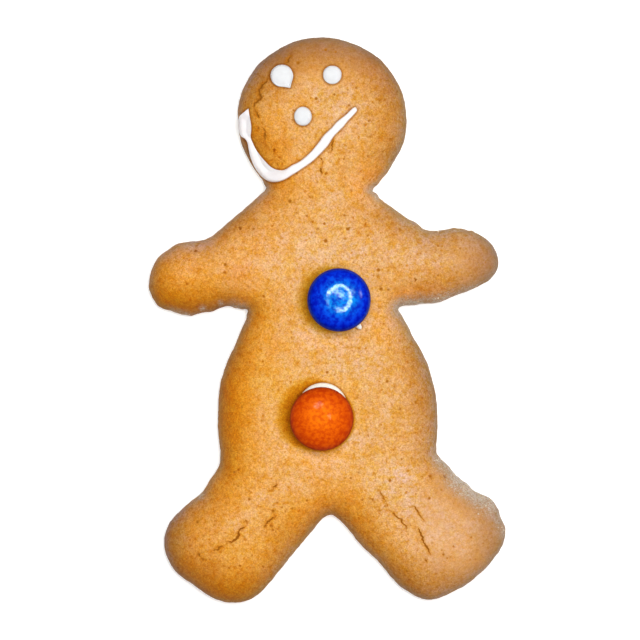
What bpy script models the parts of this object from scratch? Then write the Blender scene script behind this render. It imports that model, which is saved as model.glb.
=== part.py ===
"""Gingerbread man cookie with icing features and two sugar-shell candy buttons.

The cookie lies face up with its flat baked base on z = 0.  X runs across the
arms, +Y points to the head and +Z up through the face.  The origin is under the
middle of the cookie.  All sizes are in metres; millimetre values carry MM.
"""
import math

import bmesh
import bpy
import numpy as np
from mathutils import Matrix, Vector
from mathutils.geometry import delaunay_2d_cdt

MM = 0.001

# Cookie
COOKIE_LENGTH = 125.0 * MM      # top of the head to the toes
COOKIE_WIDTH = 79.0 * MM        # hand to hand
CROWN_HEIGHT = 8.4 * MM         # thickness where the shoulder of the edge ends
CROWN_RISE = 0.7 * MM           # further rise towards the middle of a wide part
CROWN_RUN = 16.0 * MM           # how far in that rise goes on
SHOULDER_RUN = 8.0 * MM         # width of the rounded edge, seen from above
SHOULDER_POWER = 2.1            # 2 is an ellipse, more is squarer
RIM_HEIGHT = 2.6 * MM           # where the rounded edge meets the outline
BELLY_HEIGHT = 1.3 * MM         # widest point of the side
BELLY_OUT = 0.25 * MM           # how far the side bulges past the upper rim
BASE_INSET = 0.7 * MM           # the base is this much smaller all round
OUTLINE_STEP = 2.1 * MM         # spacing of the outline's points
FACE_STEP = 2.7 * MM            # spacing of the points over the middle of the face
EDGE_DEPTHS = (0.45 * MM, 1.4 * MM, 2.9 * MM)    # rings of points along the rounded edge
EDGE_LEAST = 0.9                # a ring's point is dropped below this share of its depth
OUTLINE_SMOOTHING = 2           # rounds of averaging that blend arcs and straights

# The outline is a ring of corners, each rounded with its own radius: (x, y, r) in mm
HEAD_CENTRE = (-1.1, 43.9)
HEAD_RADIUS = 18.6
HEAD_FROM, HEAD_TO = 219.0, -47.0    # degrees, left neck over the crown to the right neck
HEAD_STEP = 6.0                 # degrees
CORNER_STEP = math.radians(8.0)
RIGHT_ARM = [
    (10.0, 28.2, 1.2),      # neck, nearly sharp
    (21.6, 19.2, 6.0),      # elbow, slightly hollow
    (30.8, 20.6, 7.0),      # back of the hand
    (38.2, 15.6, 6.0),      # fingers
    (37.8, 9.8, 4.5),       # tip
    (25.0, 3.6, 14.0),      # underside of the forearm
    (15.2, 3.3, 1.2),       # armpit
]
RIGHT_SIDE = [
    (24.5, -13.6, 30.0),    # ribs
    (24.1, -29.8, 2.5),     # waist above the thigh
]
RIGHT_LEG = [
    (31.4, -37.2, 8.0),     # thigh
    (36.8, -39.6, 5.0),     # outer ankle
    (39.9, -46.8, 8.0),     # outer foot
    (37.6, -53.2, 12.0),    # below the little toe
    (31.0, -58.9, 14.0),    # ball of the foot
    (20.4, -63.5, 8.0),     # toe
    (0.6, -42.0, 1.6),      # crotch
]
LEFT_LEG = [
    (-13.4, -59.6, 12.0),   # inner toe
    (-21.0, -64.2, 8.0),    # toe
    (-35.5, -54.9, 9.0),    # outer foot
    (-36.0, -46.2, 8.0),    # outer ankle
    (-26.8, -37.4, 12.0),   # thigh
    (-23.2, -31.6, 5.0),    # waist above the thigh
]
LEFT_SIDE = [
    (-25.1, -16.8, 32.0),   # ribs
]
LEFT_ARM = [
    (-16.8, 2.4, 1.2),      # armpit
    (-21.0, 3.4, 2.0),      # where the arm leaves the side
    (-30.8, 0.2, 8.0),      # underside of the hand
    (-40.2, 4.4, 7.0),      # tip
    (-38.0, 14.0, 8.0),     # fingers
    (-32.4, 17.4, 7.0),     # back of the hand
    (-26.8, 17.4, 4.0),     # elbow, slightly hollow
    (-12.8, 28.9, 2.0),     # neck
]

# Icing
GAP = 0.3 * MM                  # kept between neighbouring solids
SLOPE_STEP = 0.25 * MM          # half the distance over which the face's slope is taken
DOT_HEIGHT = 1.1 * MM
DOT_EDGE = 0.15                 # share of that height at the foot of a dot
DOT_SEGMENTS = 24
DOT_RINGS = 5
DOTS = {
    "eye_left": {"centre": (-9.95, 53.75), "radii": (2.5, 2.45), "tail": (0.85, -1.35)},
    "eye_right": {"centre": (1.15, 53.9), "radii": (2.05, 2.05), "tail": (0.0, 0.0)},
    "nose": {"centre": (-5.3, 44.7), "radii": (2.0, 2.2), "tail": (0.0, 0.0)},
}
TAIL_SPREAD = 50.0              # degrees to each side over which a tail fades away
MOUTH_HEIGHT = 0.9 * MM
MOUTH_EDGE = 0.2                # share of that height along the sides of the line
MOUTH_FULL_WIDTH = 2.0 * MM     # narrower stretches are lower in proportion
MOUTH_KEEP_IN = 0.6 * MM        # least distance from the head's edge
MOUTH_STATIONS = 44             # cross-sections along the smile
MOUTH_SECTION = 6               # strips across the smile
CURVE_STEPS = 12                # points between two knots before they are spread evenly
# Middle line and width of the smile, from the blob at the rim to the thin end: (x, y, w) in mm
MOUTH_LINE = [
    (-17.3, 46.5, 0.3),
    (-18.0, 45.2, 1.8),
    (-18.3, 43.4, 2.7),
    (-18.2, 41.6, 2.5),
    (-17.6, 40.2, 1.4),
    (-17.0, 38.8, 1.1),
    (-16.2, 36.9, 1.6),
    (-15.0, 34.7, 2.3),
    (-13.3, 32.7, 2.7),
    (-11.3, 31.7, 2.7),
    (-8.9, 32.1, 2.2),
    (-6.4, 33.4, 2.1),
    (-3.0, 36.3, 2.0),
    (0.2, 40.3, 1.8),
    (3.4, 43.9, 1.3),
    (6.2, 46.6, 0.8),
]

# Candy buttons
CANDY_DIAMETER = 14.0 * MM
CANDY_THICKNESS = 5.8 * MM
CANDY_POWER = 2.5               # squareness of the lentil's profile, 2 is an ellipse
CANDY_SEGMENTS = 40
CANDY_RINGS = 12
BUTTONS = {
    "blue": {
        "centre": (2.6, 4.4), "tilt": (0.0, 0.0), "colour": (0.005, 0.045, 0.62, 1.0),
        "dab": {"centre": (2.7, 4.2), "radii": (6.1, 6.0), "tail": (1.0, -1.5)},
    },
    "orange": {
        "centre": (-1.2, -21.7), "tilt": (3.0, 2.0), "colour": (0.87, 0.15, 0.012, 1.0),
        "dab": {"centre": (-0.9, -20.5), "radii": (6.4, 6.6), "tail": (0.0, 0.0)},
    },
}
DAB_EDGE = 0.6 * MM             # height of a dab's edge above the cookie
DAB_HEIGHT = 1.5 * MM           # height it would have without the candy pressing on it
DAB_FLOOR = 0.45 * MM           # icing left under the middle of a candy
DAB_LEAST = 0.2 * MM            # icing is nowhere thinner than this
DAB_SEGMENTS = 30
DAB_RINGS = 5
DAB_CROWDING = 0.7              # below 1 brings the rings closer together near the edge

SHARP_ANGLE = math.radians(50.0)
GINGERBREAD_COLOUR = (0.72, 0.42, 0.15, 1.0)
ICING_COLOUR = (0.93, 0.89, 0.86, 1.0)


def clear_scene():
    for item in list(bpy.data.objects):
        bpy.data.objects.remove(item, do_unlink=True)


def make_material(name, colour, roughness, coat=0.0):
    material = bpy.data.materials.new(name)
    material.use_nodes = True
    shader = material.node_tree.nodes["Principled BSDF"]
    shader.inputs["Base Color"].default_value = colour
    shader.inputs["Roughness"].default_value = roughness
    shader.inputs["Metallic"].default_value = 0.0
    shader.inputs["Coat Weight"].default_value = coat
    return material


def make_object(name, vertices, faces, material):
    """One closed mesh object, with its faces turned outwards and shaded smooth."""
    mesh = bpy.data.meshes.new(name)
    mesh.from_pydata([tuple(v) for v in vertices], [], [tuple(f) for f in faces])
    work = bmesh.new()
    work.from_mesh(mesh)
    bmesh.ops.recalc_face_normals(work, faces=work.faces)
    work.to_mesh(mesh)
    work.free()
    mesh.shade_smooth()
    mesh.set_sharp_from_angle(angle=SHARP_ANGLE)
    mesh.materials.append(material)
    piece = bpy.data.objects.new(name, mesh)
    bpy.context.scene.collection.objects.link(piece)
    return piece


# Outline

def head_arc():
    """Corners with no rounding, from the left neck over the crown to the right one."""
    angles = np.radians(np.arange(HEAD_FROM, HEAD_TO, -HEAD_STEP))
    return [(HEAD_CENTRE[0] + HEAD_RADIUS * math.cos(a),
             HEAD_CENTRE[1] + HEAD_RADIUS * math.sin(a), 0.0) for a in angles]


def round_corner(before, corner, after, radius):
    """Points of the arc of that radius which touches both sides of the corner."""
    if radius <= 0.0:
        return [corner]
    side_in = (before - corner).normalized()
    side_out = (after - corner).normalized()
    half_angle = side_in.angle(side_out) / 2.0
    reach = radius / math.tan(half_angle)
    room = 0.49 * min((before - corner).length, (after - corner).length)
    if reach > room:
        radius *= room / reach
        reach = room
    centre = corner + (side_in + side_out).normalized() * (radius / math.sin(half_angle))
    spoke = corner + side_in * reach - centre
    turn = math.pi - 2.0 * half_angle
    if side_in.x * side_out.y > side_in.y * side_out.x:
        turn = -turn
    count = max(2, math.ceil(abs(turn) / CORNER_STEP))
    return [centre + Matrix.Rotation(turn * i / count, 2) @ spoke for i in range(count + 1)]


def resample(ring, step):
    """Evenly spaced points along a closed ring."""
    closed = np.vstack([ring, ring[:1]])
    lengths = np.hypot(*np.diff(closed, axis=0).T)
    along = np.concatenate([[0.0], np.cumsum(lengths)])
    count = int(round(along[-1] / step))
    wanted = np.linspace(0.0, along[-1], count, endpoint=False)
    return np.column_stack([np.interp(wanted, along, closed[:, k]) for k in (0, 1)])


def cookie_outline():
    """The outline from above, anticlockwise, centred and brought to the driving sizes."""
    corners = head_arc() + RIGHT_ARM + RIGHT_SIDE + RIGHT_LEG + LEFT_LEG + LEFT_SIDE + LEFT_ARM
    places = [Vector((x, y)) * MM for x, y, _ in corners]
    ring = []
    for i, (_, _, radius) in enumerate(corners):
        after = places[(i + 1) % len(places)]
        ring += [tuple(p) for p in round_corner(places[i - 1], places[i], after, radius * MM)]
    ring = resample(np.array(ring)[::-1], OUTLINE_STEP / 3.0)
    for _ in range(OUTLINE_SMOOTHING):
        ring = (np.roll(ring, 1, axis=0) + 2.0 * ring + np.roll(ring, -1, axis=0)) / 4.0
    low, high = ring.min(axis=0), ring.max(axis=0)
    ring = (ring - (low + high) / 2.0) * np.array([COOKIE_WIDTH, COOKIE_LENGTH]) / (high - low)
    return resample(ring, OUTLINE_STEP)


def distance_inside(points, ring):
    """Distance from each point to the outline, positive inside and negative outside."""
    points = np.asarray(points)[:, None, :]
    start = ring[None, :, :]
    edge = np.roll(ring, -1, axis=0)[None, :, :] - start
    share = np.clip(((points - start) * edge).sum(-1) / (edge * edge).sum(-1), 0.0, 1.0)
    gap = np.hypot(*np.moveaxis(points - start - share[..., None] * edge, -1, 0)).min(axis=1)
    end = start + edge
    px, py = points[..., 0], points[..., 1]
    spans = (start[..., 1] > py) != (end[..., 1] > py)
    rise = np.where(edge[..., 1] == 0.0, 1.0, edge[..., 1])
    crossing = start[..., 0] + (py - start[..., 1]) / rise * edge[..., 0]
    inside = ((spans & (px < crossing)).sum(axis=1) % 2) == 1
    return np.where(inside, gap, -gap)


def inset_ring(ring, amount):
    """The outline moved inwards by amount, along the mean direction of its edges."""
    along = np.roll(ring, -1, axis=0) - np.roll(ring, 1, axis=0)
    along /= np.hypot(*along.T)[:, None]
    inward = np.column_stack([-along[:, 1], along[:, 0]])
    return ring + inward * amount


# Cookie

def face_height(points, ring):
    """Height of the face above the base: a rounded shoulder, then a slow rise."""
    depth = np.clip(distance_inside(points, ring), 0.0, None)
    shoulder = 1.0 - np.clip(depth / SHOULDER_RUN, 0.0, 1.0)
    rounded = (1.0 - shoulder ** SHOULDER_POWER) ** (1.0 / SHOULDER_POWER)
    rise = np.sin(np.clip(depth / CROWN_RUN, 0.0, 1.0) * math.pi / 2.0)
    return RIM_HEIGHT + (CROWN_HEIGHT - RIM_HEIGHT) * rounded + CROWN_RISE * rise


def face_points(ring):
    """Rings that follow the rounded edge, then a hexagonal field over the middle."""
    points = []
    for depth in EDGE_DEPTHS:
        moved = resample(inset_ring(ring, depth), OUTLINE_STEP + depth / 5.0)
        points.append(moved[distance_inside(moved, ring) > EDGE_LEAST * depth])
    low, high = ring.min(axis=0), ring.max(axis=0)
    field = []
    for i, y in enumerate(np.arange(low[1], high[1], FACE_STEP * math.sqrt(3.0) / 2.0)):
        field += [(x, y) for x in np.arange(low[0] + (i % 2) * FACE_STEP / 2.0, high[0], FACE_STEP)]
    field = np.array(field)
    points.append(field[distance_inside(field, ring) > EDGE_DEPTHS[-1] + 0.6 * FACE_STEP])
    return np.vstack(points)


def make_cookie(ring, material):
    """Flat base, rounded side and crowned face in one closed shell; returns the face's rim."""
    count = len(ring)
    levels = [
        (inset_ring(ring, BELLY_OUT + BASE_INSET), 0.0),
        (inset_ring(ring, BELLY_OUT * 0.5), BELLY_HEIGHT * 0.4),
        (ring, BELLY_HEIGHT),
        (inset_ring(ring, BELLY_OUT), RIM_HEIGHT),
    ]
    vertices = [(x, y, z) for level, z in levels for x, y in level]
    faces = [tuple(reversed(range(count)))]
    for lower in range(len(levels) - 1):
        for i in range(count):
            j = (i + 1) % count
            a, b = lower * count, (lower + 1) * count
            faces.append((a + i, a + j, b + j, b + i))
    rim = levels[-1][0]
    flat = [Vector(p) for p in np.vstack([rim, face_points(rim)])]
    boundary = [(i, (i + 1) % count) for i in range(count)]
    net = delaunay_2d_cdt(flat, boundary, [], 1, 1e-9)    # 1 keeps the triangles inside the rim
    inner = [tuple(place) for place in net[0][count:]]
    vertices += [(x, y, z) for (x, y), z in zip(inner, face_height(inner, rim))]
    rim_start = (len(levels) - 1) * count
    faces += [tuple(rim_start + i for i in triangle) for triangle in net[2]]
    make_object("cookie", vertices, faces, material)
    return rim


# Icing and candies on the face

def lay_on_face(points, lifts, rim):
    """Points lifted off the face by the given amounts, square to its slope."""
    points = np.asarray(points, dtype=float)
    height = face_height(points, rim)
    steps = np.eye(2) * SLOPE_STEP
    slope = np.column_stack([
        face_height(points + step, rim) - face_height(points - step, rim) for step in steps])
    slope /= 2.0 * SLOPE_STEP
    normal = np.column_stack([-slope, np.ones(len(points))])
    normal /= np.linalg.norm(normal, axis=1)[:, None]
    return np.column_stack([points, height]) + normal * np.asarray(lifts)[:, None]


def blob_points(shape, segments, rings, crowding=1.0):
    """Rings of a piped blob from its edge to its middle point, and each point's share of the way out."""
    centre, radii, tail = (np.array(shape[key]) * MM for key in ("centre", "radii", "tail"))
    pull = math.atan2(tail[1], tail[0])
    flat, share = [], []
    for ring in range(rings, 0, -1):
        out = (ring / rings) ** crowding
        for turn in np.linspace(0.0, 2.0 * math.pi, segments, endpoint=False):
            spoke = np.array([math.cos(turn), math.sin(turn)])
            aside = abs((turn - pull + math.pi) % (2.0 * math.pi) - math.pi)
            stretch = max(0.0, 1.0 - aside / math.radians(TAIL_SPREAD)) ** 1.5
            flat.append(centre + out * (radii + stretch * np.hypot(*tail)) * spoke)
            share.append(out)
    return np.array(flat + [centre]), np.array(share + [0.0])


def blob_faces(segments, rings):
    """Faces of a blob's top and bottom sheets, as blob_points lays them out, and its edge."""
    count = segments * rings + 1
    faces = []
    for sheet in (0, count):
        for i in range(segments):
            j = (i + 1) % segments
            for a in range(sheet, sheet + (rings - 1) * segments, segments):
                b = a + segments
                faces.append((a + i, a + j, b + j, b + i))
            last = sheet + (rings - 1) * segments
            faces.append((last + i, last + j, sheet + count - 1))
    return faces + [(i, (i + 1) % segments, count + (i + 1) % segments, count + i) for i in range(segments)]


def make_dot(name, shape, rim, material):
    """A piped dot: a low dome, with a tail where the nozzle pulled away."""
    flat, share = blob_points(shape, DOT_SEGMENTS, DOT_RINGS)
    dome = DOT_HEIGHT * (DOT_EDGE + (1.0 - DOT_EDGE) * np.sqrt(1.0 - share ** 2))
    top = lay_on_face(flat, GAP + dome, rim)
    bottom = lay_on_face(flat, np.full(len(flat), GAP), rim)
    return make_object(name, np.vstack([top, bottom]), blob_faces(DOT_SEGMENTS, DOT_RINGS), material)


def smooth_path(knots, count):
    """Evenly spread stations on a Catmull-Rom curve through the knots."""
    knots = np.asarray(knots, dtype=float)
    padded = np.vstack([2 * knots[0] - knots[1], knots, 2 * knots[-1] - knots[-2]])
    fine = []
    for i in range(1, len(padded) - 2):
        p0, p1, p2, p3 = padded[i - 1:i + 3]
        for t in np.linspace(0.0, 1.0, CURVE_STEPS, endpoint=False):
            fine.append(0.5 * (2 * p1 + (p2 - p0) * t + (2 * p0 - 5 * p1 + 4 * p2 - p3) * t ** 2
                               + (3 * p1 - p0 - 3 * p2 + p3) * t ** 3))
    fine = np.vstack([fine, knots[-1:]])
    along = np.concatenate([[0.0], np.cumsum(np.hypot(*np.diff(fine[:, :2], axis=0).T))])
    wanted = np.linspace(0.0, along[-1], count)
    return np.column_stack([np.interp(wanted, along, fine[:, k]) for k in range(fine.shape[1])])


def keep_on_head(point):
    """The point, drawn back to the head's middle if it is too near the edge."""
    middle = np.array(HEAD_CENTRE) * MM
    most = HEAD_RADIUS * MM - MOUTH_KEEP_IN
    return middle + (point - middle) * min(1.0, most / np.hypot(*(point - middle)))


def make_mouth(rim, material):
    """A piped line of changing width along the smile, flat below and domed above."""
    path = smooth_path(np.array(MOUTH_LINE) * MM, MOUTH_STATIONS)
    middle, width = path[:, :2], path[:, 2]
    along = np.gradient(middle, axis=0)
    along /= np.hypot(*along.T)[:, None]
    across = np.column_stack([-along[:, 1], along[:, 0]])
    shares = np.linspace(-1.0, 1.0, MOUTH_SECTION + 1)
    section = MOUTH_EDGE + (1.0 - MOUTH_EDGE) * np.sqrt(1.0 - shares ** 2)
    flat, lift = [], []
    for centre, side, wide in zip(middle, across, width):
        flat += [keep_on_head(centre + side * share * wide / 2.0) for share in shares]
        lift += list(MOUTH_HEIGHT * min(1.0, wide / MOUTH_FULL_WIDTH) * section)
    top = lay_on_face(flat, GAP + np.array(lift), rim)
    bottom = lay_on_face(flat, np.full(len(flat), GAP), rim)
    vertices = np.vstack([top, bottom])
    row, shift = len(shares), len(flat)
    faces = []
    for side in (0, shift):
        for station in range(MOUTH_STATIONS - 1):
            for k in range(MOUTH_SECTION):
                a = side + station * row + k
                faces.append((a, a + 1, a + row + 1, a + row))
    for station in range(MOUTH_STATIONS - 1):
        for k in (0, MOUTH_SECTION):
            a = station * row + k
            faces.append((a, a + row, shift + a + row, shift + a))
    for start in (0, (MOUTH_STATIONS - 1) * row):
        for k in range(MOUTH_SECTION):
            a = start + k
            faces.append((a, a + 1, shift + a + 1, shift + a))
    return make_object("icing_mouth", vertices, faces, material)


def lentil_half_height(radius):
    """Half the candy's thickness at a distance from its axis."""
    share = np.clip(np.asarray(radius) / (CANDY_DIAMETER / 2.0), 0.0, 1.0)
    return CANDY_THICKNESS / 2.0 * (1.0 - share ** CANDY_POWER) ** (1.0 / CANDY_POWER)


def make_candy(name, button, seat, material):
    """A lentil turned about its own axis, then tilted on its seat."""
    work = bmesh.new()
    profile = []
    for i in range(CANDY_RINGS + 1):
        angle = math.pi * (i / CANDY_RINGS - 0.5)
        radius = CANDY_DIAMETER / 2.0 * math.cos(angle) ** (2.0 / CANDY_POWER)
        if i in (0, CANDY_RINGS):
            radius = 0.0
        height = math.copysign(float(lentil_half_height(radius)), angle)
        profile.append(work.verts.new((radius, 0.0, height)))
    lines = [work.edges.new(pair) for pair in zip(profile, profile[1:])]
    bmesh.ops.spin(work, geom=profile + lines, cent=(0.0, 0.0, 0.0), axis=(0.0, 0.0, 1.0),
                   angle=2.0 * math.pi, steps=CANDY_SEGMENTS, use_merge=True)
    bmesh.ops.remove_doubles(work, verts=work.verts, dist=0.00001)
    bmesh.ops.recalc_face_normals(work, faces=work.faces)
    mesh = bpy.data.meshes.new(name)
    work.to_mesh(mesh)
    work.free()
    mesh.shade_smooth()
    mesh.materials.append(material)
    piece = bpy.data.objects.new(name, mesh)
    piece.location = (button["centre"][0] * MM, button["centre"][1] * MM, seat)
    piece.rotation_euler = [math.radians(angle) for angle in button["tilt"]] + [0.0]
    bpy.context.scene.collection.objects.link(piece)
    return piece


def candy_seat(button, rim):
    """Height of a candy's middle, with icing and two gaps between it and the face."""
    centre = np.array([button["centre"]]) * MM
    return float(face_height(centre, rim)[0]) + 2.0 * GAP + DAB_FLOOR + CANDY_THICKNESS / 2.0


def make_dab(name, button, seat, rim, material):
    """Icing that holds a candy: squeezed thin in the middle and swollen at its edge."""
    flat, share = blob_points(button["dab"], DAB_SEGMENTS, DAB_RINGS, DAB_CROWDING)
    ground = face_height(flat, rim) + GAP
    top = ground + DAB_EDGE + (DAB_HEIGHT - DAB_EDGE) * np.sqrt(1.0 - share ** 2)
    offset = flat - np.array(button["centre"]) * MM
    radius = np.hypot(*offset.T)
    lean = np.tan(np.radians(button["tilt"]))
    underside = seat + offset @ np.array([-lean[1], lean[0]]) - lentil_half_height(radius) - 1.5 * GAP
    top = np.where(radius < CANDY_DIAMETER / 2.0 + GAP, np.minimum(top, underside), top)
    top = np.maximum(top, ground + DAB_LEAST)
    vertices = np.vstack([np.column_stack([flat, top]), np.column_stack([flat, ground])])
    return make_object(name, vertices, blob_faces(DAB_SEGMENTS, DAB_RINGS), material)


def main():
    clear_scene()
    gingerbread = make_material("gingerbread", GINGERBREAD_COLOUR, 0.8)
    icing = make_material("icing", ICING_COLOUR, 0.45)
    rim = make_cookie(cookie_outline(), gingerbread)
    for dot_name, shape in DOTS.items():
        make_dot("icing_" + dot_name, shape, rim, icing)
    make_mouth(rim, icing)
    for colour_name, button in BUTTONS.items():
        shell = make_material("candy_shell_" + colour_name, button["colour"], 0.2, coat=0.5)
        seat = candy_seat(button, rim)
        make_dab("icing_dab_" + colour_name, button, seat, rim, icing)
        make_candy("candy_" + colour_name, button, seat, shell)


main()
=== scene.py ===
import math

import bmesh
import bpy
import numpy as np
from mathutils import Euler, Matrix, Vector, kdtree, noise
from mathutils.bvhtree import BVHTree
from mathutils.geometry import delaunay_2d_cdt


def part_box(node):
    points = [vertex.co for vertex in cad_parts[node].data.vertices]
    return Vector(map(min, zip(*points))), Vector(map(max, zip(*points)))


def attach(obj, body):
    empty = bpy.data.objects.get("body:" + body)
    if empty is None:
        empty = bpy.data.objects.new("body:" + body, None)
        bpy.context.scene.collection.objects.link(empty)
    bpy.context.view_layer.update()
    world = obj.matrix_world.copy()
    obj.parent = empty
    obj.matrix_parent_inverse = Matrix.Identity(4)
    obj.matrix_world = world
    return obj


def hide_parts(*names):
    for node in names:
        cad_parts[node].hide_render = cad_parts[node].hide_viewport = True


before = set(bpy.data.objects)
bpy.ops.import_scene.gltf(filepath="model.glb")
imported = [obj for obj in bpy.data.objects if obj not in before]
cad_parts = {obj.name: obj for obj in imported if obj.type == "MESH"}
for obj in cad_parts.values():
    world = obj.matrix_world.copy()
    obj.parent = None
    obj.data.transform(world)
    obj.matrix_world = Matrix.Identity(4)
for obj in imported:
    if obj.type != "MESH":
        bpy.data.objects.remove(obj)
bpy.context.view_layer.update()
mm = 0.001
print("frame loaded:", ", ".join(sorted(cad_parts)))


# small helpers for points on closed and open lines, all in metres

def evenRing(ring, step):
    closed = np.vstack([ring, ring[:1]])
    along = np.concatenate([[0.0], np.cumsum(np.hypot(*np.diff(closed, axis=0).T))])
    wanted = np.linspace(0.0, along[-1], int(round(along[-1] / step)), endpoint=False)
    return np.column_stack([np.interp(wanted, along, closed[:, k]) for k in (0, 1)])


def curveThrough(knots, steps, closed=False):
    # Catmull-Rom curve through the knots, with steps points from one knot to the next
    knots = np.asarray(knots, dtype=float)
    if closed:
        padded = np.vstack([knots[-1:], knots, knots[:2]])
    else:
        padded = np.vstack([2 * knots[0] - knots[1], knots, 2 * knots[-1] - knots[-2]])
    t = np.linspace(0.0, 1.0, steps, endpoint=False)[:, None]
    pieces = []
    for i in range(1, len(padded) - 2):
        p0, p1, p2, p3 = padded[i - 1:i + 3]
        pieces.append(0.5 * (2 * p1 + (p2 - p0) * t + (2 * p0 - 5 * p1 + 4 * p2 - p3) * t ** 2
                             + (3 * p1 - p0 - 3 * p2 + p3) * t ** 3))
    if not closed:
        pieces.append(knots[-1:])
    return np.vstack(pieces)


def evenLine(line, step):
    along = np.concatenate([[0.0], np.cumsum(np.hypot(*np.diff(line[:, :2], axis=0).T))])
    wanted = np.linspace(0.0, along[-1], max(2, int(round(along[-1] / step)) + 1))
    return np.column_stack([np.interp(wanted, along, line[:, k]) for k in range(line.shape[1])])


def inwardOf(ring):
    along = np.roll(ring, -1, axis=0) - np.roll(ring, 1, axis=0)
    along /= np.hypot(*along.T)[:, None]
    return np.column_stack([-along[:, 1], along[:, 0]])


def sidewaysOf(line):
    along = np.gradient(line, axis=0)
    along /= np.maximum(np.hypot(*along.T), 1e-9)[:, None]
    return np.column_stack([-along[:, 1], along[:, 0]])


def softNoise(points, size, seed):
    # smooth noise from about -1 to 1 whose bumps are about that size
    shift = Vector((17.3 * seed, -9.1 * seed, 5.7 * seed))
    return np.array([noise.noise(Vector(p) / size + shift) for p in points])


def flatNoise(places, size, seed):
    # the same for flat places in metres, with the size in mm
    return softNoise(np.c_[places, np.zeros(len(places))] / mm, size, seed)


def pointTree(points):
    tree = kdtree.KDTree(len(points))
    for i, p in enumerate(points):
        tree.insert((p[0], p[1], p[2] if len(p) > 2 else 0.0), i)
    tree.balance()
    return tree


def nearest(tree, points):
    # index and distance of the nearest stored point, seen from above
    found = [tree.find((p[0], p[1], 0.0)) for p in points]
    return np.array([f[1] for f in found]), np.array([f[2] for f in found])


def smoothStep(low, high, value):
    t = np.clip((np.asarray(value) - low) / (high - low), 0.0, 1.0)
    return t * t * (3.0 - 2.0 * t)


def overEdge(places, edge, soften, work):
    # what work makes of the squared distances to every point of the edge, for some places at a time
    made = []
    for start in range(0, len(places), 4000):
        apart = places[start:start + 4000, None, :2] - edge[None, :, :]
        made.append(work((apart ** 2).sum(axis=2) + (soften * mm) ** 2))
    return np.concatenate(made)


def farFrom(spots, middle, radii=(1.0, 1.0)):
    # distance from the middle of a patch, as a share of its radii
    return np.hypot((spots[:, 0] - middle[0]) / radii[0], (spots[:, 1] - middle[1]) / radii[1])


def storeValue(mesh, name, values):
    layer = mesh.attributes.new(name, "FLOAT", "POINT")
    layer.data.foreach_set("value", np.asarray(values, dtype=np.float32))


def addObject(name, data):
    added = bpy.data.objects.new(name, data)
    bpy.context.scene.collection.objects.link(added)
    return added


def makePiece(name, vertices, faces, material, nodes):
    mesh = bpy.data.meshes.new(name)
    mesh.from_pydata([tuple(v) for v in vertices], [], [tuple(f) for f in faces])
    mesh.validate()
    mesh.shade_smooth()
    mesh.materials.append(material)
    piece = addObject(name, mesh)
    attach(piece, "root")
    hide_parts(*nodes)
    return piece


def setInput(socket, value):
    # colours are written as three numbers, because nothing here is see-through
    socket.default_value = (*value, 1.0) if socket.type == "RGBA" else value


def makeNode(tree, kind, inputs=None, **settings):
    node = tree.nodes.new("ShaderNode" + kind)
    for name, value in settings.items():
        setattr(node, name, value)
    for key, value in (inputs or {}).items():
        if isinstance(value, bpy.types.NodeSocket):
            tree.links.new(value, node.inputs[key])
        else:
            setInput(node.inputs[key], value)
    return node


def startMaterial(name, values):
    material = bpy.data.materials.new(name)
    material.use_nodes = True
    shader = material.node_tree.nodes["Principled BSDF"]
    for key, value in values.items():
        setInput(shader.inputs[key], value)
    return material, material.node_tree, shader


def noiseFac(tree, place, size, detail=2.0, rough=0.5):
    return makeNode(tree, "TexNoise", {"Vector": place, "Scale": 1.0 / size, "Detail": detail,
                                       "Roughness": rough}).outputs["Fac"]


def cellNoise(tree, place, size):
    # cells of one size: the distance from the middle of each, and the random numbers that it keeps
    cells = makeNode(tree, "TexVoronoi", {"Vector": place, "Scale": 1.0 / size})
    chances = makeNode(tree, "SeparateColor", {"Color": cells.outputs["Color"]})
    return cells.outputs["Distance"], chances.outputs


def remap(tree, value, low, high, start=0.0, end=1.0):
    return makeNode(tree, "MapRange", {"Value": value, "From Min": low, "From Max": high,
                                       "To Min": start, "To Max": end},
                    interpolation_type="SMOOTHSTEP").outputs["Result"]


def mixColour(tree, factor, first, second, blend="MIX"):
    return makeNode(tree, "Mix", {0: factor, 6: first, 7: second}, data_type="RGBA",
                    blend_type=blend).outputs[2]


def tinted(tree, colour, tint):
    return mixColour(tree, 1.0, colour, tint, "MULTIPLY")


def calc(tree, operation, first, second=0.0, clamp=False):
    return makeNode(tree, "Math", {0: first, 1: second}, operation=operation,
                    use_clamp=clamp).outputs[0]


def readValue(tree, name):
    return makeNode(tree, "Attribute", attribute_name=name).outputs["Fac"]


def noiseShift(tree, place, size, reach):
    # the place pushed about by noise, so that spots come out ragged
    wave = makeNode(tree, "TexNoise", {"Vector": place, "Scale": 1.0 / size, "Detail": 2.0}).outputs["Color"]
    push = makeNode(tree, "VectorMath", {0: wave, 1: (0.5, 0.5, 0.5)}, operation="SUBTRACT").outputs[0]
    push = makeNode(tree, "VectorMath", {0: push, "Scale": 2.0 * reach}, operation="SCALE").outputs[0]
    return makeNode(tree, "VectorMath", {0: place, 1: push}, operation="ADD").outputs[0]


def addBump(tree, shader, height, strength, depth):
    bump = makeNode(tree, "Bump", {"Strength": strength, "Distance": depth * mm, "Height": height})
    tree.links.new(bump.outputs["Normal"], shader.inputs["Normal"])
    return bump.outputs["Normal"]


def flatPlace(tree):
    return makeNode(tree, "TexCoord").outputs["Object"]


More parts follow.
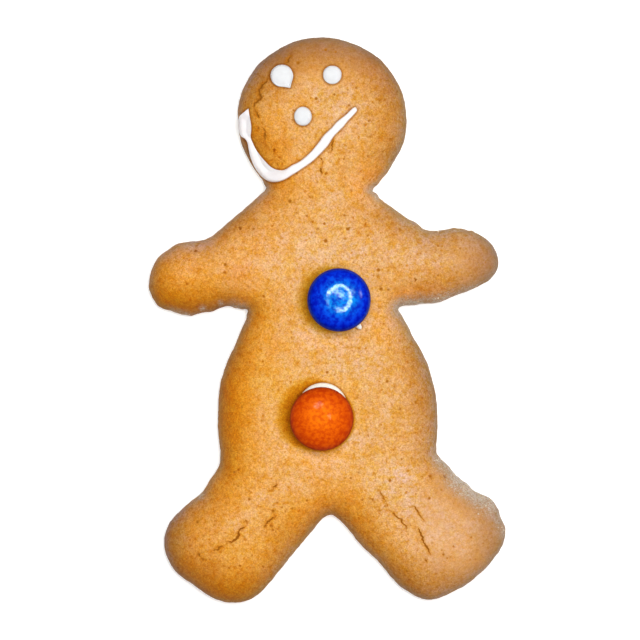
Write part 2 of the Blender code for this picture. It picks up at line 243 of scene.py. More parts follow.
# the baked cookie: sizes in mm
cookieShape = {
    "spacing": 0.34,          # between points on the face and along the edge
    "readHeight": 1.25,       # where the outline is read from the frame's cookie
    "bellyHeight": 1.3,       # widest point of the side
    "bellyOut": 0.25,         # how far the side stands out past the rim of the face
    "baseInset": 0.7,
    "rimHeight": 2.6,         # where the side turns into the shoulder
    "shoulderRun": 8.6,       # width of the rounded shoulder seen from above
    "shoulderPower": 2.05,
    "crownRise": 0.7,
    "crownRun": 16.0,
    "bluntEnds": 0.55,        # how much sooner hands, feet and head round off than straight edges
    "bluntBand": (0.7, 2.6),  # depth over which that sets in
    "bluntEven": 0.88,        # what it comes to beside a straight edge
    "rimStep": 0.5,           # between the points of the edge that are counted for it
    "steepTurn": 24.0,        # degrees of the shoulder built as rings before the face is meshed
    "steepStep": 2.4,
    "baseSpacing": 1.3,
    "evenFoot": 0.9,          # height over which the relief fades out towards the base
    "paleFoot": 0.4,          # height over which the paler colour of the base fades out
    "faceFrom": 2.4,          # above this height a point belongs to the face
}
crustRelief = [  # (bump size, height, seed) in mm, from the slow swell of hand-rolled dough to the grain
    (17.0, 0.26, 1.0),
    (6.0, 0.12, 2.0),
    (2.3, 0.055, 3.0),
    (1.1, 0.05, 4.0),
    (0.62, 0.035, 5.0),
]
outlineRelief = [(5.0, 0.08, 6.0), (1.7, 0.06, 7.0), (0.7, 0.03, 8.0)]
# where the edge was pressed in or bulges: x and y, push outwards, length along the edge, in mm
outlineTouches = [
    (-35, -54, -0.3, 6), (-26, -60.7, 0.3, 4), (-16.7, -61, 0.5, 5), (0.3, -43.6, 0.1, 3), (7.5, -49, 0.4, 6),
    (15, -57, 0.35, 5), (23, -61.4, 0.35, 5), (37, -53, -0.35, 4.5), (33, -56.5, -0.25, 3),
    (39.4, -45.8, 0.25, 2.5), (38.6, -43, -0.45, 5), (32.5, -37.5, -0.6, 6), (28.2, -34.2, -0.25, 2.6),
    (30.9, -36.6, 0.5, 1.9), (24.8, -29.7, -0.3, 3.5), (23.3, -12.8, -0.3, 8), (19, -4, -0.22, 4),
    (16.2, 2.4, -0.8, 1.2), (18.7, 3.6, 0.4, 3), (24.5, 3.9, 0.25, 4), (32, 7.2, 0.45, 5),
    (35.6, 8.6, 0.2, 3), (37.9, 14.6, -0.4, 5), (31.5, 20, -0.25, 4.5), (32, 19.7, 0.25, 1.2),
    (28, 20.2, 0.2, 1.2), (19.5, 21.1, 0.45, 2.5), (12.3, 26.5, 0.2, 0.9), (10.9, 28.7, -0.9, 1.1),
    (15, 35, -0.45, 5), (12.1, 31, -0.2, 2), (12.3, 26.3, -0.25, 1.5), (11.5, 57.8, 0.2, 3),
    (-14.1, 29.2, -0.7, 1.2), (-16.8, 35, -0.45, 5.5), (-14.8, 31.8, -0.2, 2), (-19.7, 42, -0.25, 5),
    (-25, 18.8, -0.24, 4), (-31.5, 17, -0.26, 4), (-35.6, 15.2, -0.45, 3), (-38, 12.3, -0.25, 3),
    (-36.7, 3.2, 0.35, 3), (-30, 0.9, 0.3, 1.2), (-25.3, 2.3, 0.45, 2.5), (-22, 2.6, 0.22, 2),
    (-19.6, 2.8, 0.75, 2.2), (-17.8, 2, -0.4, 0.9), (-24.4, -18.3, -0.3, 7), (-27.8, -38.3, -0.42, 3.5),
    (-24, -32.5, -0.2, 3), (29.5, -34.6, 0.25, 0.9), (33.7, -38.2, 0.05, 1.1), (38, -42, 0.25, 1),
]
# pores are dented, and darkened more the deeper they are: painted shade
pores = {
    "count": 900, "radius": (0.2, 0.42), "depth": (0.03, 0.18), "seed": 31,
    "pitWidth": 0.95, "pitDepth": 0.5,      # of the listed pits, as shares of their radius
    "darken": 3.2, "darkest": 0.8, "darkFade": 1.1,
}
# the larger pits, dented and darkened with painted shade: x, y and radius in mm
pits = [
    (-0.3, 59.6, 0.5), (1.9, 59.1, 0.4), (-6.4, 56.6, 0.55), (-2.4, 48.7, 0.5), (1.6, 49.6, 0.42),
    (6.4, 51.1, 0.4), (4.8, 47.2, 0.4), (11.6, 48.3, 0.4), (12.8, 48.5, 0.4), (9.2, 43.8, 0.4),
    (14.0, 39.8, 0.45), (9.0, 36.0, 0.35), (3.7, 35.4, 0.35), (-10.9, 34.1, 0.35), (-7.4, 46.1, 0.35),
    (12.9, 44.2, 0.3), (-8.2, 26.1, 0.55), (-4.5, 22.9, 0.4), (-0.6, 21.2, 0.45), (3.8, 23.0, 0.4),
    (4.5, 20.0, 0.5), (-2.0, 20.1, 0.35), (-0.3, 17.4, 0.6), (8.9, 18.5, 0.35), (11.3, 11.0, 0.55),
    (11.9, 6.8, 0.5), (24.4, 16.4, 0.4), (16.0, 20.1, 0.4), (24.4, 9.8, 0.35), (-22.4, 12.2, 0.5),
    (-16.2, 20.1, 0.4), (-20.6, 20.0, 0.35), (13.2, -13.5, 0.45), (19.6, -18.1, 0.45), (0.0, -11.5, 0.45),
    (13.5, 6.6, 0.4), (-17.1, -39.4, 0.45), (-11.0, -40.2, 0.35), (-11.9, -42.0, 0.5), (-9.9, -41.2, 0.35),
    (-9.2, -42.1, 0.3), (-7.7, -41.5, 0.35), (-4.4, -39.7, 0.4), (-28.6, -44.4, 0.5), (-28.4, -51.6, 0.45),
    (-27.3, -52.7, 0.45), (-25.9, -52.7, 0.35), (-20.5, -33.5, 0.4), (-17.0, -57.2, 0.35), (22.8, -34.3, 0.5),
    (22.5, -39.2, 0.45), (10.0, -39.5, 0.35), (7.7, -39.6, 0.35), (16.4, -30.6, 0.35), (13.8, -35.3, 0.5),
    (5.2, -34.8, 0.4), (11.6, -42.0, 0.35), (9.4, -49.2, 0.4), (27.8, -49.8, 0.35), (25.6, -51.6, 0.4),
    (25.2, -50.6, 0.3), (31.7, -47.8, 0.35), (17.5, -55.4, 0.4), (26.4, -52.4, 0.3),
]
# cracks in the crust: width, depth and middle line, in mm
cracks = [
    (0.5, 0.5, [(-7.8, 58.3), (-8.3, 57.7), (-8.6, 57.1), (-9.2, 56.3)]),
    (0.8, 0.6, [(-12.7, 53.5), (-13.4, 52.6), (-14.3, 51.5), (-15.1, 50.6), (-14.9, 49.6), (-14.5, 49),
        (-15.3, 48.2), (-15.9, 47.7), (-15.95, 46.4)]),
    (0.6, 0.35, [(-15.5, 45.9), (-15.3, 45.3), (-14.9, 44.4)]),
    (0.5, 0.2, [(-14.4, 43.7), (-14.2, 43.4)]),
    (0.5, 0.2, [(-15.3, 42.6), (-15.2, 41.9)]),
    (0.45, 0.25, [(-14.3, 42.3), (-13.6, 41.7), (-13.8, 40.9), (-13.9, 39.9), (-13.9, 39.1)]),
    (0.4, 0.2, [(-13.5, 38.7), (-13, 38.2)]),
    (0.36, 0.3, [(1.4, 39.8), (1.1, 38.9), (1.2, 38), (0.8, 37)]),
    (0.28, 0.22, [(-1.9, 35.9), (-1.1, 35.4), (-0.9, 34.8), (-1.1, 34)]),
    (0.4, 0.35, [(-1.5, 33.5), (-1.3, 32.8), (-1, 32)]),
    (0.55, 0.6, [(-18, -45.3), (-18.7, -45.8), (-19.2, -46.1), (-19.5, -46.7), (-19.5, -47.3),
        (-19.9, -47.9), (-20.1, -48.4), (-20.7, -48.8), (-21.4, -48.8), (-22.2, -48.6)]),
    (0.36, 0.28, [(-22.9, -49.7), (-23.4, -49.9), (-23.9, -50.4), (-24.6, -50.5), (-25.2, -50.8)]),
    (0.3, 0.25, [(-28.1, -51.2), (-28, -52), (-27.3, -52.8)]),
    (0.24, 0.18, [(-17.4, -44.5), (-17.9, -44.1), (-18.4, -44.5)]),
    (0.28, 0.25, [(-11.1, -35.6), (-11, -36.3), (-11.6, -36.6), (-12.1, -37.4)]),
    (0.4, 0.36, [(-11.1, -43), (-11.5, -43.5), (-12.3, -43.8), (-12.9, -44.3), (-13.3, -44.8),
        (-13.9, -45.6)]),
    (0.3, 0.18, [(11.4, -37.4), (12.1, -38.4), (12.8, -39.8), (13.3, -40.8)]),
    (0.36, 0.24, [(13.2, -41.8), (14, -42), (14.9, -42.8), (15.6, -43.5), (16.3, -43.9), (16.6, -44.8),
        (17.2, -45.1), (17.5, -46.2)]),
    (0.34, 0.22, [(18, -41), (19, -41.1), (19.5, -41.6), (20, -42.2), (20.4, -42.9), (20.9, -43.4),
        (21.6, -44.3)]),
    (0.42, 0.4, [(20, -45.6), (20.5, -46.6), (20.8, -47.6), (21.2, -48.7), (21, -48.9), (21.7, -49.5),
        (22.1, -50.2), (22.5, -50.8), (22.7, -51.6)]),
    (0.24, 0.16, [(9.3, -39), (9.9, -39.4), (10.5, -39.9)]),
    (0.3, 0.2, [(21.7, -52.6), (22, -53.2)]),
]
crackStyle = {
    "step": 0.12, "wander": 0.3, "wanderSize": 0.4, "sway": 0.15, "swaySize": 0.9,
    "widen": 0.95, "deepen": 0.62,
    "breakSize": 0.7, "breakUp": 0.9, "breakLimits": (0.5, 1.4),    # how the width comes and goes
    "rows": (0.0, 0.4, 0.8, 1.25, 2.0),    # mesh lines beside the middle, in half widths
    "steepness": 0.7, "lip": 0.09, "lipPlace": 1.5, "lipWidth": 0.7,
    # the crack colour is stronger where the crack is deeper: painted shade on top of its own colour
    "darkReach": 1.2, "darkFrom": 0.26, "leastDark": 0.3,
    "stainReach": 0.26, "stain": (0.92, 0.78, 0.42),
}


def outlineOfCad():
    # the loop of the frame's cookie at its widest height, anticlockwise
    height = cookieShape["readHeight"] * mm
    work = bmesh.new()
    work.from_mesh(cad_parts["cookie"].data)
    bmesh.ops.remove_doubles(work, verts=work.verts, dist=0.02 * mm)
    everything = list(work.verts) + list(work.edges) + list(work.faces)
    cut = bmesh.ops.bisect_plane(work, geom=everything, plane_co=(0, 0, height), plane_no=(0, 0, 1))
    edges = [e for e in cut["geom_cut"] if isinstance(e, bmesh.types.BMEdge)]
    neighbours = {}
    for edge in edges:
        for vertex in edge.verts:
            neighbours.setdefault(vertex, []).append(edge.other_vert(vertex))
    first = edges[0].verts[0]
    loop, previous, current = [first], first, neighbours[first][0]
    while current is not first:
        loop.append(current)
        ahead = [v for v in neighbours[current] if v is not previous]
        previous, current = current, ahead[0]
    ring = np.array([(v.co.x, v.co.y) for v in loop])
    work.free()
    after = np.roll(ring, -1, axis=0)
    if (ring[:, 0] * after[:, 1] - after[:, 0] * ring[:, 1]).sum() < 0:
        ring = ring[::-1]
    return ring


def roughOutline(ring):
    fine = evenRing(curveThrough(evenRing(ring, 1.0 * mm), 8, closed=True), cookieShape["spacing"] * mm)
    push = sum(height * flatNoise(fine, size, seed) for size, height, seed in outlineRelief)
    for x, y, out, length in outlineTouches:
        apart = np.hypot(fine[:, 0] - x * mm, fine[:, 1] - y * mm) / mm
        sharp = 1.0 if length < 1.3 else 2.0
        push -= out * np.exp(-((apart - apart.min()) / (0.6 * length)) ** sharp)
    return fine + inwardOf(fine) * (push * mm)[:, None]


def shoulderHeight(depth):
    # height of the face above the base at a depth in from the rim, all in mm
    s = cookieShape
    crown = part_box("cookie")[1].z / mm - s["crownRise"]
    turn = 1.0 - np.clip(depth / s["shoulderRun"], 0.0, 1.0)
    rounded = (1.0 - turn ** s["shoulderPower"]) ** (1.0 / s["shoulderPower"])
    rise = np.sin(np.clip(depth / s["crownRun"], 0.0, 1.0) * math.pi / 2.0)
    return s["rimHeight"] + (crown - s["rimHeight"]) * rounded + s["crownRise"] * rise


def bluntDepth(places, depth, rim):
    # depth from the edge, less where the edge curls around a place and more beside a notch
    s = cookieShape
    sparse = evenRing(rim, s["rimStep"] * mm)
    around = overEdge(places, sparse, 0.2, lambda squares: (squares ** -1.5).sum(axis=1))
    soft = np.sqrt(2.0 / (around * s["rimStep"] * mm))
    least, most = s["bluntBand"]
    ratio = np.where(depth > least * mm, soft / np.maximum(depth, 1e-6) / s["bluntEven"], 1.0)
    blend = s["bluntEnds"] * smoothStep(least * mm, most * mm, depth)
    return depth * (1.0 + blend * (ratio - 1.0))


def sideLevels():
    # (inset from the outline, height) of every ring from the base up the side and round the shoulder
    s = cookieShape
    levels = []
    for share in np.linspace(0.0, 1.0, 6)[:-1]:
        levels.append((s["baseInset"] * (1.0 - share) ** 1.8, s["bellyHeight"] * share))
    for share in np.linspace(0.0, 1.0, 6):
        height = s["bellyHeight"] + (s["rimHeight"] - s["bellyHeight"]) * share
        levels.append((s["bellyOut"] * share ** 2, height))
    for turn in np.arange(s["steepStep"], s["steepTurn"] + 0.1, s["steepStep"]):
        depth = s["shoulderRun"] * (1.0 - math.cos(math.radians(turn)) ** (2.0 / s["shoulderPower"]))
        levels.append((s["bellyOut"] + depth, float(shoulderHeight(depth))))
    return levels


def fieldInside(ring, spacing, least, tree):
    # staggered rows of points inside the ring, at least that far from it
    following = np.roll(ring, -1, axis=0)
    low, high = ring.min(axis=0), ring.max(axis=0)
    rows = []
    for i, y in enumerate(np.arange(low[1], high[1], spacing * math.sqrt(3.0) / 2.0)):
        crossed = (ring[:, 1] > y) != (following[:, 1] > y)
        start, end = ring[crossed], following[crossed]
        share = (y - start[:, 1]) / (end[:, 1] - start[:, 1])
        ends = np.sort(start[:, 0] + share * (end[:, 0] - start[:, 0]))
        xs = np.arange(low[0] + (i % 2) * spacing / 2.0, high[0], spacing)
        xs = xs[np.searchsorted(ends, xs) % 2 == 1]
        rows.append(np.column_stack([xs, np.full(len(xs), y)]))
    field = np.vstack(rows)
    return field[nearest(tree, field)[1] > least]


def crackPaths():
    # jagged middle lines with the half width and depth that fade out at both ends, in metres
    c = crackStyle
    paths = []
    for number, (width, depth, knots) in enumerate(cracks):
        line = evenLine(np.array(knots) * mm, c["step"] * mm)
        across = sidewaysOf(line)
        swing = c["wander"] * flatNoise(line, c["wanderSize"], 20.0 + number)
        swing += c["sway"] * flatNoise(line, c["swaySize"], 30.0 + number)
        breaks = c["breakUp"] * flatNoise(line, c["breakSize"], 40.0 + number)
        wobble = np.clip(1.0 + breaks, *c["breakLimits"])
        fade = np.sin(np.pi * np.clip(np.linspace(0.0, 1.0, len(line)), 0.02, 0.98)) ** 0.55
        paths.append({"middle": line + across * (swing * mm)[:, None], "across": across,
                      "half": c["widen"] * width / 2 * mm * fade * wobble,
                      "depth": c["deepen"] * depth * mm * fade * wobble,
                      "depthShade": np.clip(depth * fade * wobble / c["darkFrom"], c["leastDark"], 1.0)})
    return paths


def crackPoints(paths):
    points = []
    for path in paths:
        for row in crackStyle["rows"]:
            for side in ((-1.0, 1.0) if row else (0.0,)):
                points.append(path["middle"] + path["across"] * (path["half"] * row * side)[:, None])
    return np.vstack(points)


def pitPoints():
    points = []
    for x, y, radius in pits:
        points.append((x, y))
        for share, count in ((0.45, 6), (0.95, 10)):
            for turn in np.linspace(0.0, 2.0 * math.pi, count, endpoint=False):
                points.append((x + share * radius * math.cos(turn), y + share * radius * math.sin(turn)))
    return np.array(points) * mm


def fillRing(ring, inner):
    # triangles that fill the ring and use the inner places as well
    around = [(i, (i + 1) % len(ring)) for i in range(len(ring))]
    net = delaunay_2d_cdt([Vector(p) for p in np.vstack([ring, inner])], around, [], 1, 1e-9)
    return np.array([tuple(p) for p in net[0][len(ring):]]), net[2]


def makeCookieMesh():
    s = cookieShape
    outline = roughOutline(outlineOfCad())
    inward = inwardOf(outline)
    count = len(outline)
    levels = sideLevels()
    rings = [outline + inward * inset * mm for inset, _ in levels]
    vertices = [np.column_stack([ring, np.full(count, height * mm)])
                for ring, (_, height) in zip(rings, levels)]
    faces = []
    for level in range(len(levels) - 1):
        a, b = level * count, (level + 1) * count
        faces += [(a + i, a + (i + 1) % count, b + (i + 1) % count, b + i) for i in range(count)]

    rim = outline + inward * s["bellyOut"] * mm
    rimTree = pointTree(evenRing(rim, 0.1 * mm))
    steepDepth = (levels[-1][0] - s["bellyOut"]) * mm
    clear = steepDepth + 0.55 * s["spacing"] * mm
    field = fieldInside(rings[-1], s["spacing"] * mm, clear, rimTree)
    paths = crackPaths()
    split = np.vstack([crackPoints(paths), besideIcing(), pitPoints()])
    split = split[nearest(rimTree, split)[1] > clear]
    splitTree = pointTree(split)
    field = field[nearest(splitTree, field)[1] > 0.6 * s["spacing"] * mm]
    places, triangles = fillRing(rings[-1], np.vstack([field, split]))
    depth = bluntDepth(places, nearest(rimTree, places)[1], rim)
    vertices.append(np.column_stack([places, shoulderHeight(depth / mm) * mm]))
    start = (len(levels) - 1) * count
    faces += [tuple(start + i for i in face) for face in triangles]

    spacing = s["baseSpacing"] * mm
    places, triangles = fillRing(rings[0], fieldInside(rings[0], spacing, 0.7 * spacing, pointTree(rings[0])))
    first = sum(len(v) for v in vertices) - count
    vertices.append(np.column_stack([places, np.zeros(len(places))]))
    for face in triangles:
        faces.append(tuple(i if i < count else first + i for i in reversed(face)))
    print("cookie: rings", len(levels), "of", count, "points")
    return np.vstack(vertices), faces, rim, rimTree, paths


def reliefOf(points, normals, paths):
    # how far each point moves along its normal, and how dark it is painted in a crack or pore: their own
    # colour with painted shade that grows with depth
    c = crackStyle
    move = sum(height * softNoise(points / mm, size, seed) for size, height, seed in crustRelief)
    lines = np.vstack([np.column_stack([p["middle"], p["half"], p["depth"], p["depthShade"]]) for p in paths])
    which, away = nearest(pointTree(lines[:, :2]), points)
    half, deep = lines[which, 2], lines[which, 3]
    facing = normals[:, 2] > 0.3
    inside = np.clip(1.0 - away / half, 0.0, 1.0) * facing
    lip = np.exp(-((away - c["lipPlace"] * half) / (c["lipWidth"] * half)) ** 2) * facing
    move = move + (c["lip"] * lip - deep / mm * inside ** c["steepness"])
    crackAndPitShade = np.clip(c["darkReach"] - away / half, 0.0, 1.0) * facing * lines[which, 4]
    stain = np.exp(-(away / (half + c["stainReach"] * mm)) ** 2) * facing
    tree = pointTree(points)
    draw = np.random.RandomState(pores["seed"])
    top = np.where(normals[:, 2] > 0.5)[0]
    holes = []
    for centre in draw.choice(top, pores["count"], replace=False):
        least, most = pores["depth"]
        depth = least + (most - least) * draw.uniform() ** 2
        holes.append((centre, draw.uniform(*pores["radius"]), depth))
    upper = pointTree(points[top, :2])
    for x, y, radius in pits:
        centre = top[upper.find((x * mm, y * mm, 0.0))[1]]
        holes.append((centre, radius * pores["pitWidth"], radius * pores["pitDepth"]))
    for centre, radius, depth in holes:
        depthShade = min(pores["darkest"], pores["darken"] * depth)
        for _, index, away in tree.find_range(Vector(points[centre]), radius * mm):
            share = 1.0 - (away / (radius * mm)) ** 2
            move[index] -= depth * share
            crackAndPitShade[index] = max(crackAndPitShade[index], depthShade * share ** pores["darkFade"])
    return move, crackAndPitShade, stain


def buildCookie(material):
    s = cookieShape
    points, faces, rim, rimTree, paths = makeCookieMesh()
    piece = makePiece("gingerbread", points, faces, material, ["cookie"])
    mesh = piece.data
    normals = np.zeros(len(points) * 3, np.float32)
    mesh.vertices.foreach_get("normal", normals)
    normals = normals.reshape(-1, 3).astype(float)
    move, crackAndPitShade, stain = reliefOf(points, normals, paths)
    low = smoothStep(0.0, s["evenFoot"] * mm, points[:, 2])
    points = points + normals * (move * low * mm)[:, None]
    points[points[:, 2] < 0.02 * mm, 2] = 0.0
    mesh.vertices.foreach_set("co", points.astype(np.float32).ravel())
    mesh.update()
    onFace = points[:, 2] > s["faceFrom"] * mm
    depth = np.where(onFace, bluntDepth(points, nearest(rimTree, points)[1], rim) / mm, 0.0)
    tints, patches = faceTints(points, normals, rim, depth)
    darken(patches, crackStyle["stain"], stain)
    tints["crackAndPitShade"] = crackAndPitShade
    tints["underside"] = smoothStep(s["paleFoot"], 0.0, points[:, 2] / mm)
    for name, values in tints.items():
        storeValue(mesh, name, values)
    # colour multipliers: painted candy shadows, painted contact shade beside the icing, crack stains and the
    # patches
    layer = mesh.attributes.new("tintAndLightPatches", "FLOAT_COLOR", "POINT")
    layer.data.foreach_set("color", patches.astype(np.float32).ravel())
    print("cookie:", len(points), "points,", sum(len(p.vertices) - 2 for p in mesh.polygons), "triangles")
    return piece


# dry flour along the edge: places in mm on the face, radius, width of the band in from the edge, strength
flourDust = [
    ((26, -32), 4, 2, 0.7), ((30, -36), 5, 3, 0.95), ((34, -39.5), 5, 3.2, 0.85), ((38, -45), 4, 1.8, 0.5),
    ((-23.4, 3.9), 0.8, 1.6, 0.8), ((-27.5, 2.9), 1, 1.5, 0.65), ((-19.4, 3.5), 2.4, 1.8, 0.45),
    ((-32.5, 1.6), 3.5, 0.9, 0.35), ((-17, 0), 2.6, 1, 0.3), ((18.5, 4.6), 4, 1.9, 0.75),
    ((24.5, 5.2), 4, 1.8, 0.6), ((30.5, 7.4), 4, 1.5, 0.45), ((15.6, 2.6), 3, 1.4, 0.6),
    ((17, -2.5), 3, 1, 0.3), ((10.2, 28), 2.6, 1.4, 0.5), ((14, 24.4), 3, 0.9, 0.2),
    ((-14, 28.8), 2, 1.2, 0.3), ((-27.8, -38.8), 1.3, 0.8, 0.5), ((23.5, 19), 3, 0.8, 0.2),
    ((38.5, 11), 4, 1, 0.2),
]
flourStyle = {
    "far": 1.25, "near": 0.4, "bandStretch": 1.6,     # where each dusting fades out
    "patchSize": 1.3, "patchLevel": 0.95, "patchSwing": 0.5, "patchLimits": (0.5, 1.2),
}
# colour multipliers over parts of the crust, darker or paler; those under the candies and beside the neck are
# painted light that lifts the shade there: middle, radii, colour multiplier
tintAndLightPatches = [
    ((-1.5, 61), (19, 7), (0.79, 0.76, 0.84)), ((-12.5, 55), (8, 8), (0.79, 0.80, 1.05)),
    ((-17, 49), (5, 9), (1, 1.10, 1.75)), ((-17.5, 37), (4, 4), (0.88, 0.88, 1)),
    ((-0.3, 49.5), (4, 4), (1, 1.08, 1.42)), ((-3.5, 40.5), (5.5, 4), (0.97, 0.93, 0.80)),
    ((10.5, 36.5), (6, 6), (1, 0.97, 0.78)), ((13, 56), (9, 8), (0.85, 0.76, 0.75)),
    ((14, 44), (7, 11), (0.93, 0.87, 0.72)), ((-3, 43), (12, 12), (0.98, 0.97, 0.92)),
    ((-12.2, 39), (6, 4), (0.96, 0.88, 0.68)), ((36.5, 13.5), (6, 7), (0.80, 0.80, 1)),
    ((31, 12.5), (5, 4), (0.95, 0.93, 0.95)), ((25, 13), (10, 7), (1, 1.08, 1.45)),
    ((25, 20), (7, 3.5), (1.17, 1.20, 1.35)), ((19.5, 22), (4.5, 3), (1.10, 1.11, 1.08)),
    ((16.8, 4.8), (3, 3), (1.15, 1.16, 1.22)), ((-34, 12.5), (8, 5.5), (1.12, 1.17, 1.68)),
    ((-30, 15.5), (9, 4), (1.02, 1.05, 1.22)), ((-35, 3.8), (7.5, 4.5), (0.93, 0.81, 0.21)),
    ((-24.5, 18.2), (7, 4), (1.05, 1.10, 1.38)), ((-19, 17), (12, 8), (1.03, 1.07, 1.34)),
    ((-13, 21), (7, 6), (1, 1.03, 1.20)), ((-19.6, 8), (5, 6), (1.04, 1.08, 1.75)),
    ((-12, 3), (8, 7), (1, 1.03, 1.18)), ((-27, 2.8), (8, 1.8), (0.89, 0.85, 0.94)),
    ((22, 5.5), (8, 2.5), (1.12, 1.04, 0.95)), ((-34, -48), (5, 8), (0.81, 0.91, 2.15)),
    ((-28, -51), (9, 9), (0.94, 0.92, 0.93)), ((-28, -57), (10, 6), (0.86, 0.80, 0.80)),
    ((-28.8, -40.2), (4.5, 4.5), (1.04, 1.12, 1.68)), ((-25.8, -35.3), (4, 3), (1.10, 1.10, 1.12)),
    ((-18.8, -59.7), (9, 5), (0.88, 0.79, 0.31)), ((-12.5, -50.5), (6, 6), (0.99, 0.95, 0.70)),
    ((-6.5, -47), (3, 5), (1.08, 1.08, 1.02)), ((6.5, -46), (3, 5), (1.08, 1.07, 1)),
    ((-19.5, -36.5), (5, 6), (1, 0.97, 0.78)), ((-8.5, -44.5), (7, 6.5), (0.98, 0.92, 0.58)),
    ((-21, -51.5), (7, 6), (0.99, 0.94, 0.62)), ((21, -57.3), (9, 7), (0.87, 0.89, 1.12)),
    ((36, -44), (6, 9), (0.85, 0.87, 1)), ((-16.6, -0.5), (5, 9), (1.17, 1.19, 1.10)),
    ((12, 29), (8, 6), (1.42, 1.35, 1.18)), ((-15, 28.5), (7, 6), (1.20, 1.22, 1.48)),
    ((1, -42), (8, 5), (1.14, 1.08, 0.80)), ((-2.5, -28.5), (9, 5), (1.12, 1.12, 1.18)),
    ((-1, -3.2), (7, 5), (1.08, 1.10, 1.38)), ((-18.5, -31), (5, 5), (1, 0.97, 0.75)),
    ((-21, -19.5), (5, 13), (1.02, 0.92, 0.42)), ((-23, -11.5), (2.2, 3), (1, 1.10, 1.80)),
    ((3.2, -16.8), (4, 3), (1, 0.95, 0.72)), ((-13.5, -14), (9, 7), (0.99, 0.94, 0.58)),
    ((5.5, -17), (11, 8), (0.99, 0.95, 0.75)), ((15, -8), (6, 8), (1, 0.96, 0.80)),
    ((7.4, -21.5), (3, 4.5), (0.99, 0.93, 0.70)), ((9, -34.5), (7, 4), (1, 0.98, 0.84)),
    ((-0.4, -34.2), (4, 3), (1.02, 1.05, 1.28)), ((22.7, -33), (4, 4), (1.04, 1.07, 1.18)),
    ((14.3, 0.5), (6.5, 8), (1.19, 1.26, 1.42)), ((12, 4.5), (4.5, 4.5), (1, 1.07, 1.28)),
    ((17.5, 16), (10, 8), (1, 1.03, 1.16)), ((13, -40), (8, 7), (1, 1.12, 1.60)),
    ((16.5, -33), (6, 5), (1.02, 1.07, 1.25)), ((27, -46), (12, 12), (0.99, 1.05, 1.38)),
    ((31.5, -53), (6, 5), (1, 1.03, 1.18)), ((15, -52), (6, 6), (1, 1.03, 1.18)),
    ((21.5, -16), (5, 12), (0.90, 0.85, 0.80)),
]
patchStyle = {"far": 1.25, "near": 0.2, "ragged": 0.12, "raggedSize": 3.5}
# smoother parts, rolled and touched: middle, radii, how much of the mottling is gone
calmPatches = [((30, -46), (12, 14), 0.42), ((34, 13), (8, 8), 0.35), ((0, 58), (17, 7), 0.35)]
# browning in from the edge, and painted sheen and shade by which way the edge faces
browningAndSideLight = {
    "reach": 20.0,               # mm in from the edge where the ramps end
    "litSide": (0.75, 0.66),    # edges that face this way get a greyer painted sheen, the others a more orange painted shade
    "leftShadeTilt": 0.011,         # how much more painted shade the left half gets, for each mm from the middle
    "wander": (1.1, 9.0),        # mm that the bands wander, and over what distance
    "spread": 0.5,               # how closely a point follows the edge nearest to it, in mm
}
# painted shadow of each candy on the crust, wider on the side away from the light: reach in mm, the way it
# leans, colour multiplier
candyShadowPaint = {
    "candy_blue": {"reach": 3.0, "least": 0.05, "lean": (-1.0, 0.02), "colour": (0.78, 0.59, 0.055)},
    "candy_orange": {"reach": 4.0, "least": 0.16, "lean": (-0.93, 0.36), "colour": (0.69, 0.38, 0.004)},
}
# painted contact shade on the crust along the edges of the icing: reach in mm, colour multiplier
icingContactShade = {"reach": 0.62, "colour": (0.60, 0.50, 0.36)}


def darken(patches, colour, share):
    patches[:, :3] *= np.array(colour) ** share[:, None]


def flourOn(spots, depth):
    f = flourStyle
    flour = np.zeros(len(spots))
    for middle, radius, band, strength in flourDust:
        near = strength * smoothStep(f["far"] * radius, f["near"] * radius, farFrom(spots, middle))
        flour = np.maximum(flour, near * np.clip(1.0 - depth / (f["bandStretch"] * band), 0.0, 1.0))
    patchy = f["patchLevel"] + f["patchSwing"] * softNoise(spots, f["patchSize"], 84.0)
    return flour * np.clip(patchy, *f["patchLimits"])


def patchesOn(points, spots, normals):
    patches = np.ones((len(points), 4))
    # each candy's painted shadow, widest on the side it leans to
    for node, paintedShadow in candyShadowPaint.items():
        low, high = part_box(node)
        middle = (low + high) / 2 / mm
        offset = spots[:, :2] - np.array([middle.x, middle.y])
        away = np.hypot(*offset.T)
        radius = (high.x - low.x) / 2 / mm
        side = offset @ np.array(paintedShadow["lean"]) / np.maximum(away, 0.1)
        width = paintedShadow["reach"] * (paintedShadow["least"] + (1.0 - paintedShadow["least"]) * smoothStep(-0.2, 1.0, side))
        darken(patches, paintedShadow["colour"], smoothStep(radius + width, radius - 0.2, away))
    # painted contact shade along the icing edges and the beds under the candies
    piped = [line for line, _ in icingEdges()]
    piped += [blobFlat(bed, 90, 1)[0][:-1] for bed in dabs.values()]
    close = nearest(pointTree(np.vstack(piped)), points)[1] / mm
    darken(patches, icingContactShade["colour"], smoothStep(icingContactShade["reach"], 0.1, close) * (normals[:, 2] > 0.3))
    ragged = patchStyle["ragged"] * softNoise(spots, patchStyle["raggedSize"], 82.0)
    for middle, radii, colour in tintAndLightPatches:
        share = smoothStep(patchStyle["far"], patchStyle["near"], farFrom(spots, middle, radii) + ragged)
        patches[:, :3] *= 1.0 + share[:, None] * (np.array(colour) - 1.0)
    return patches


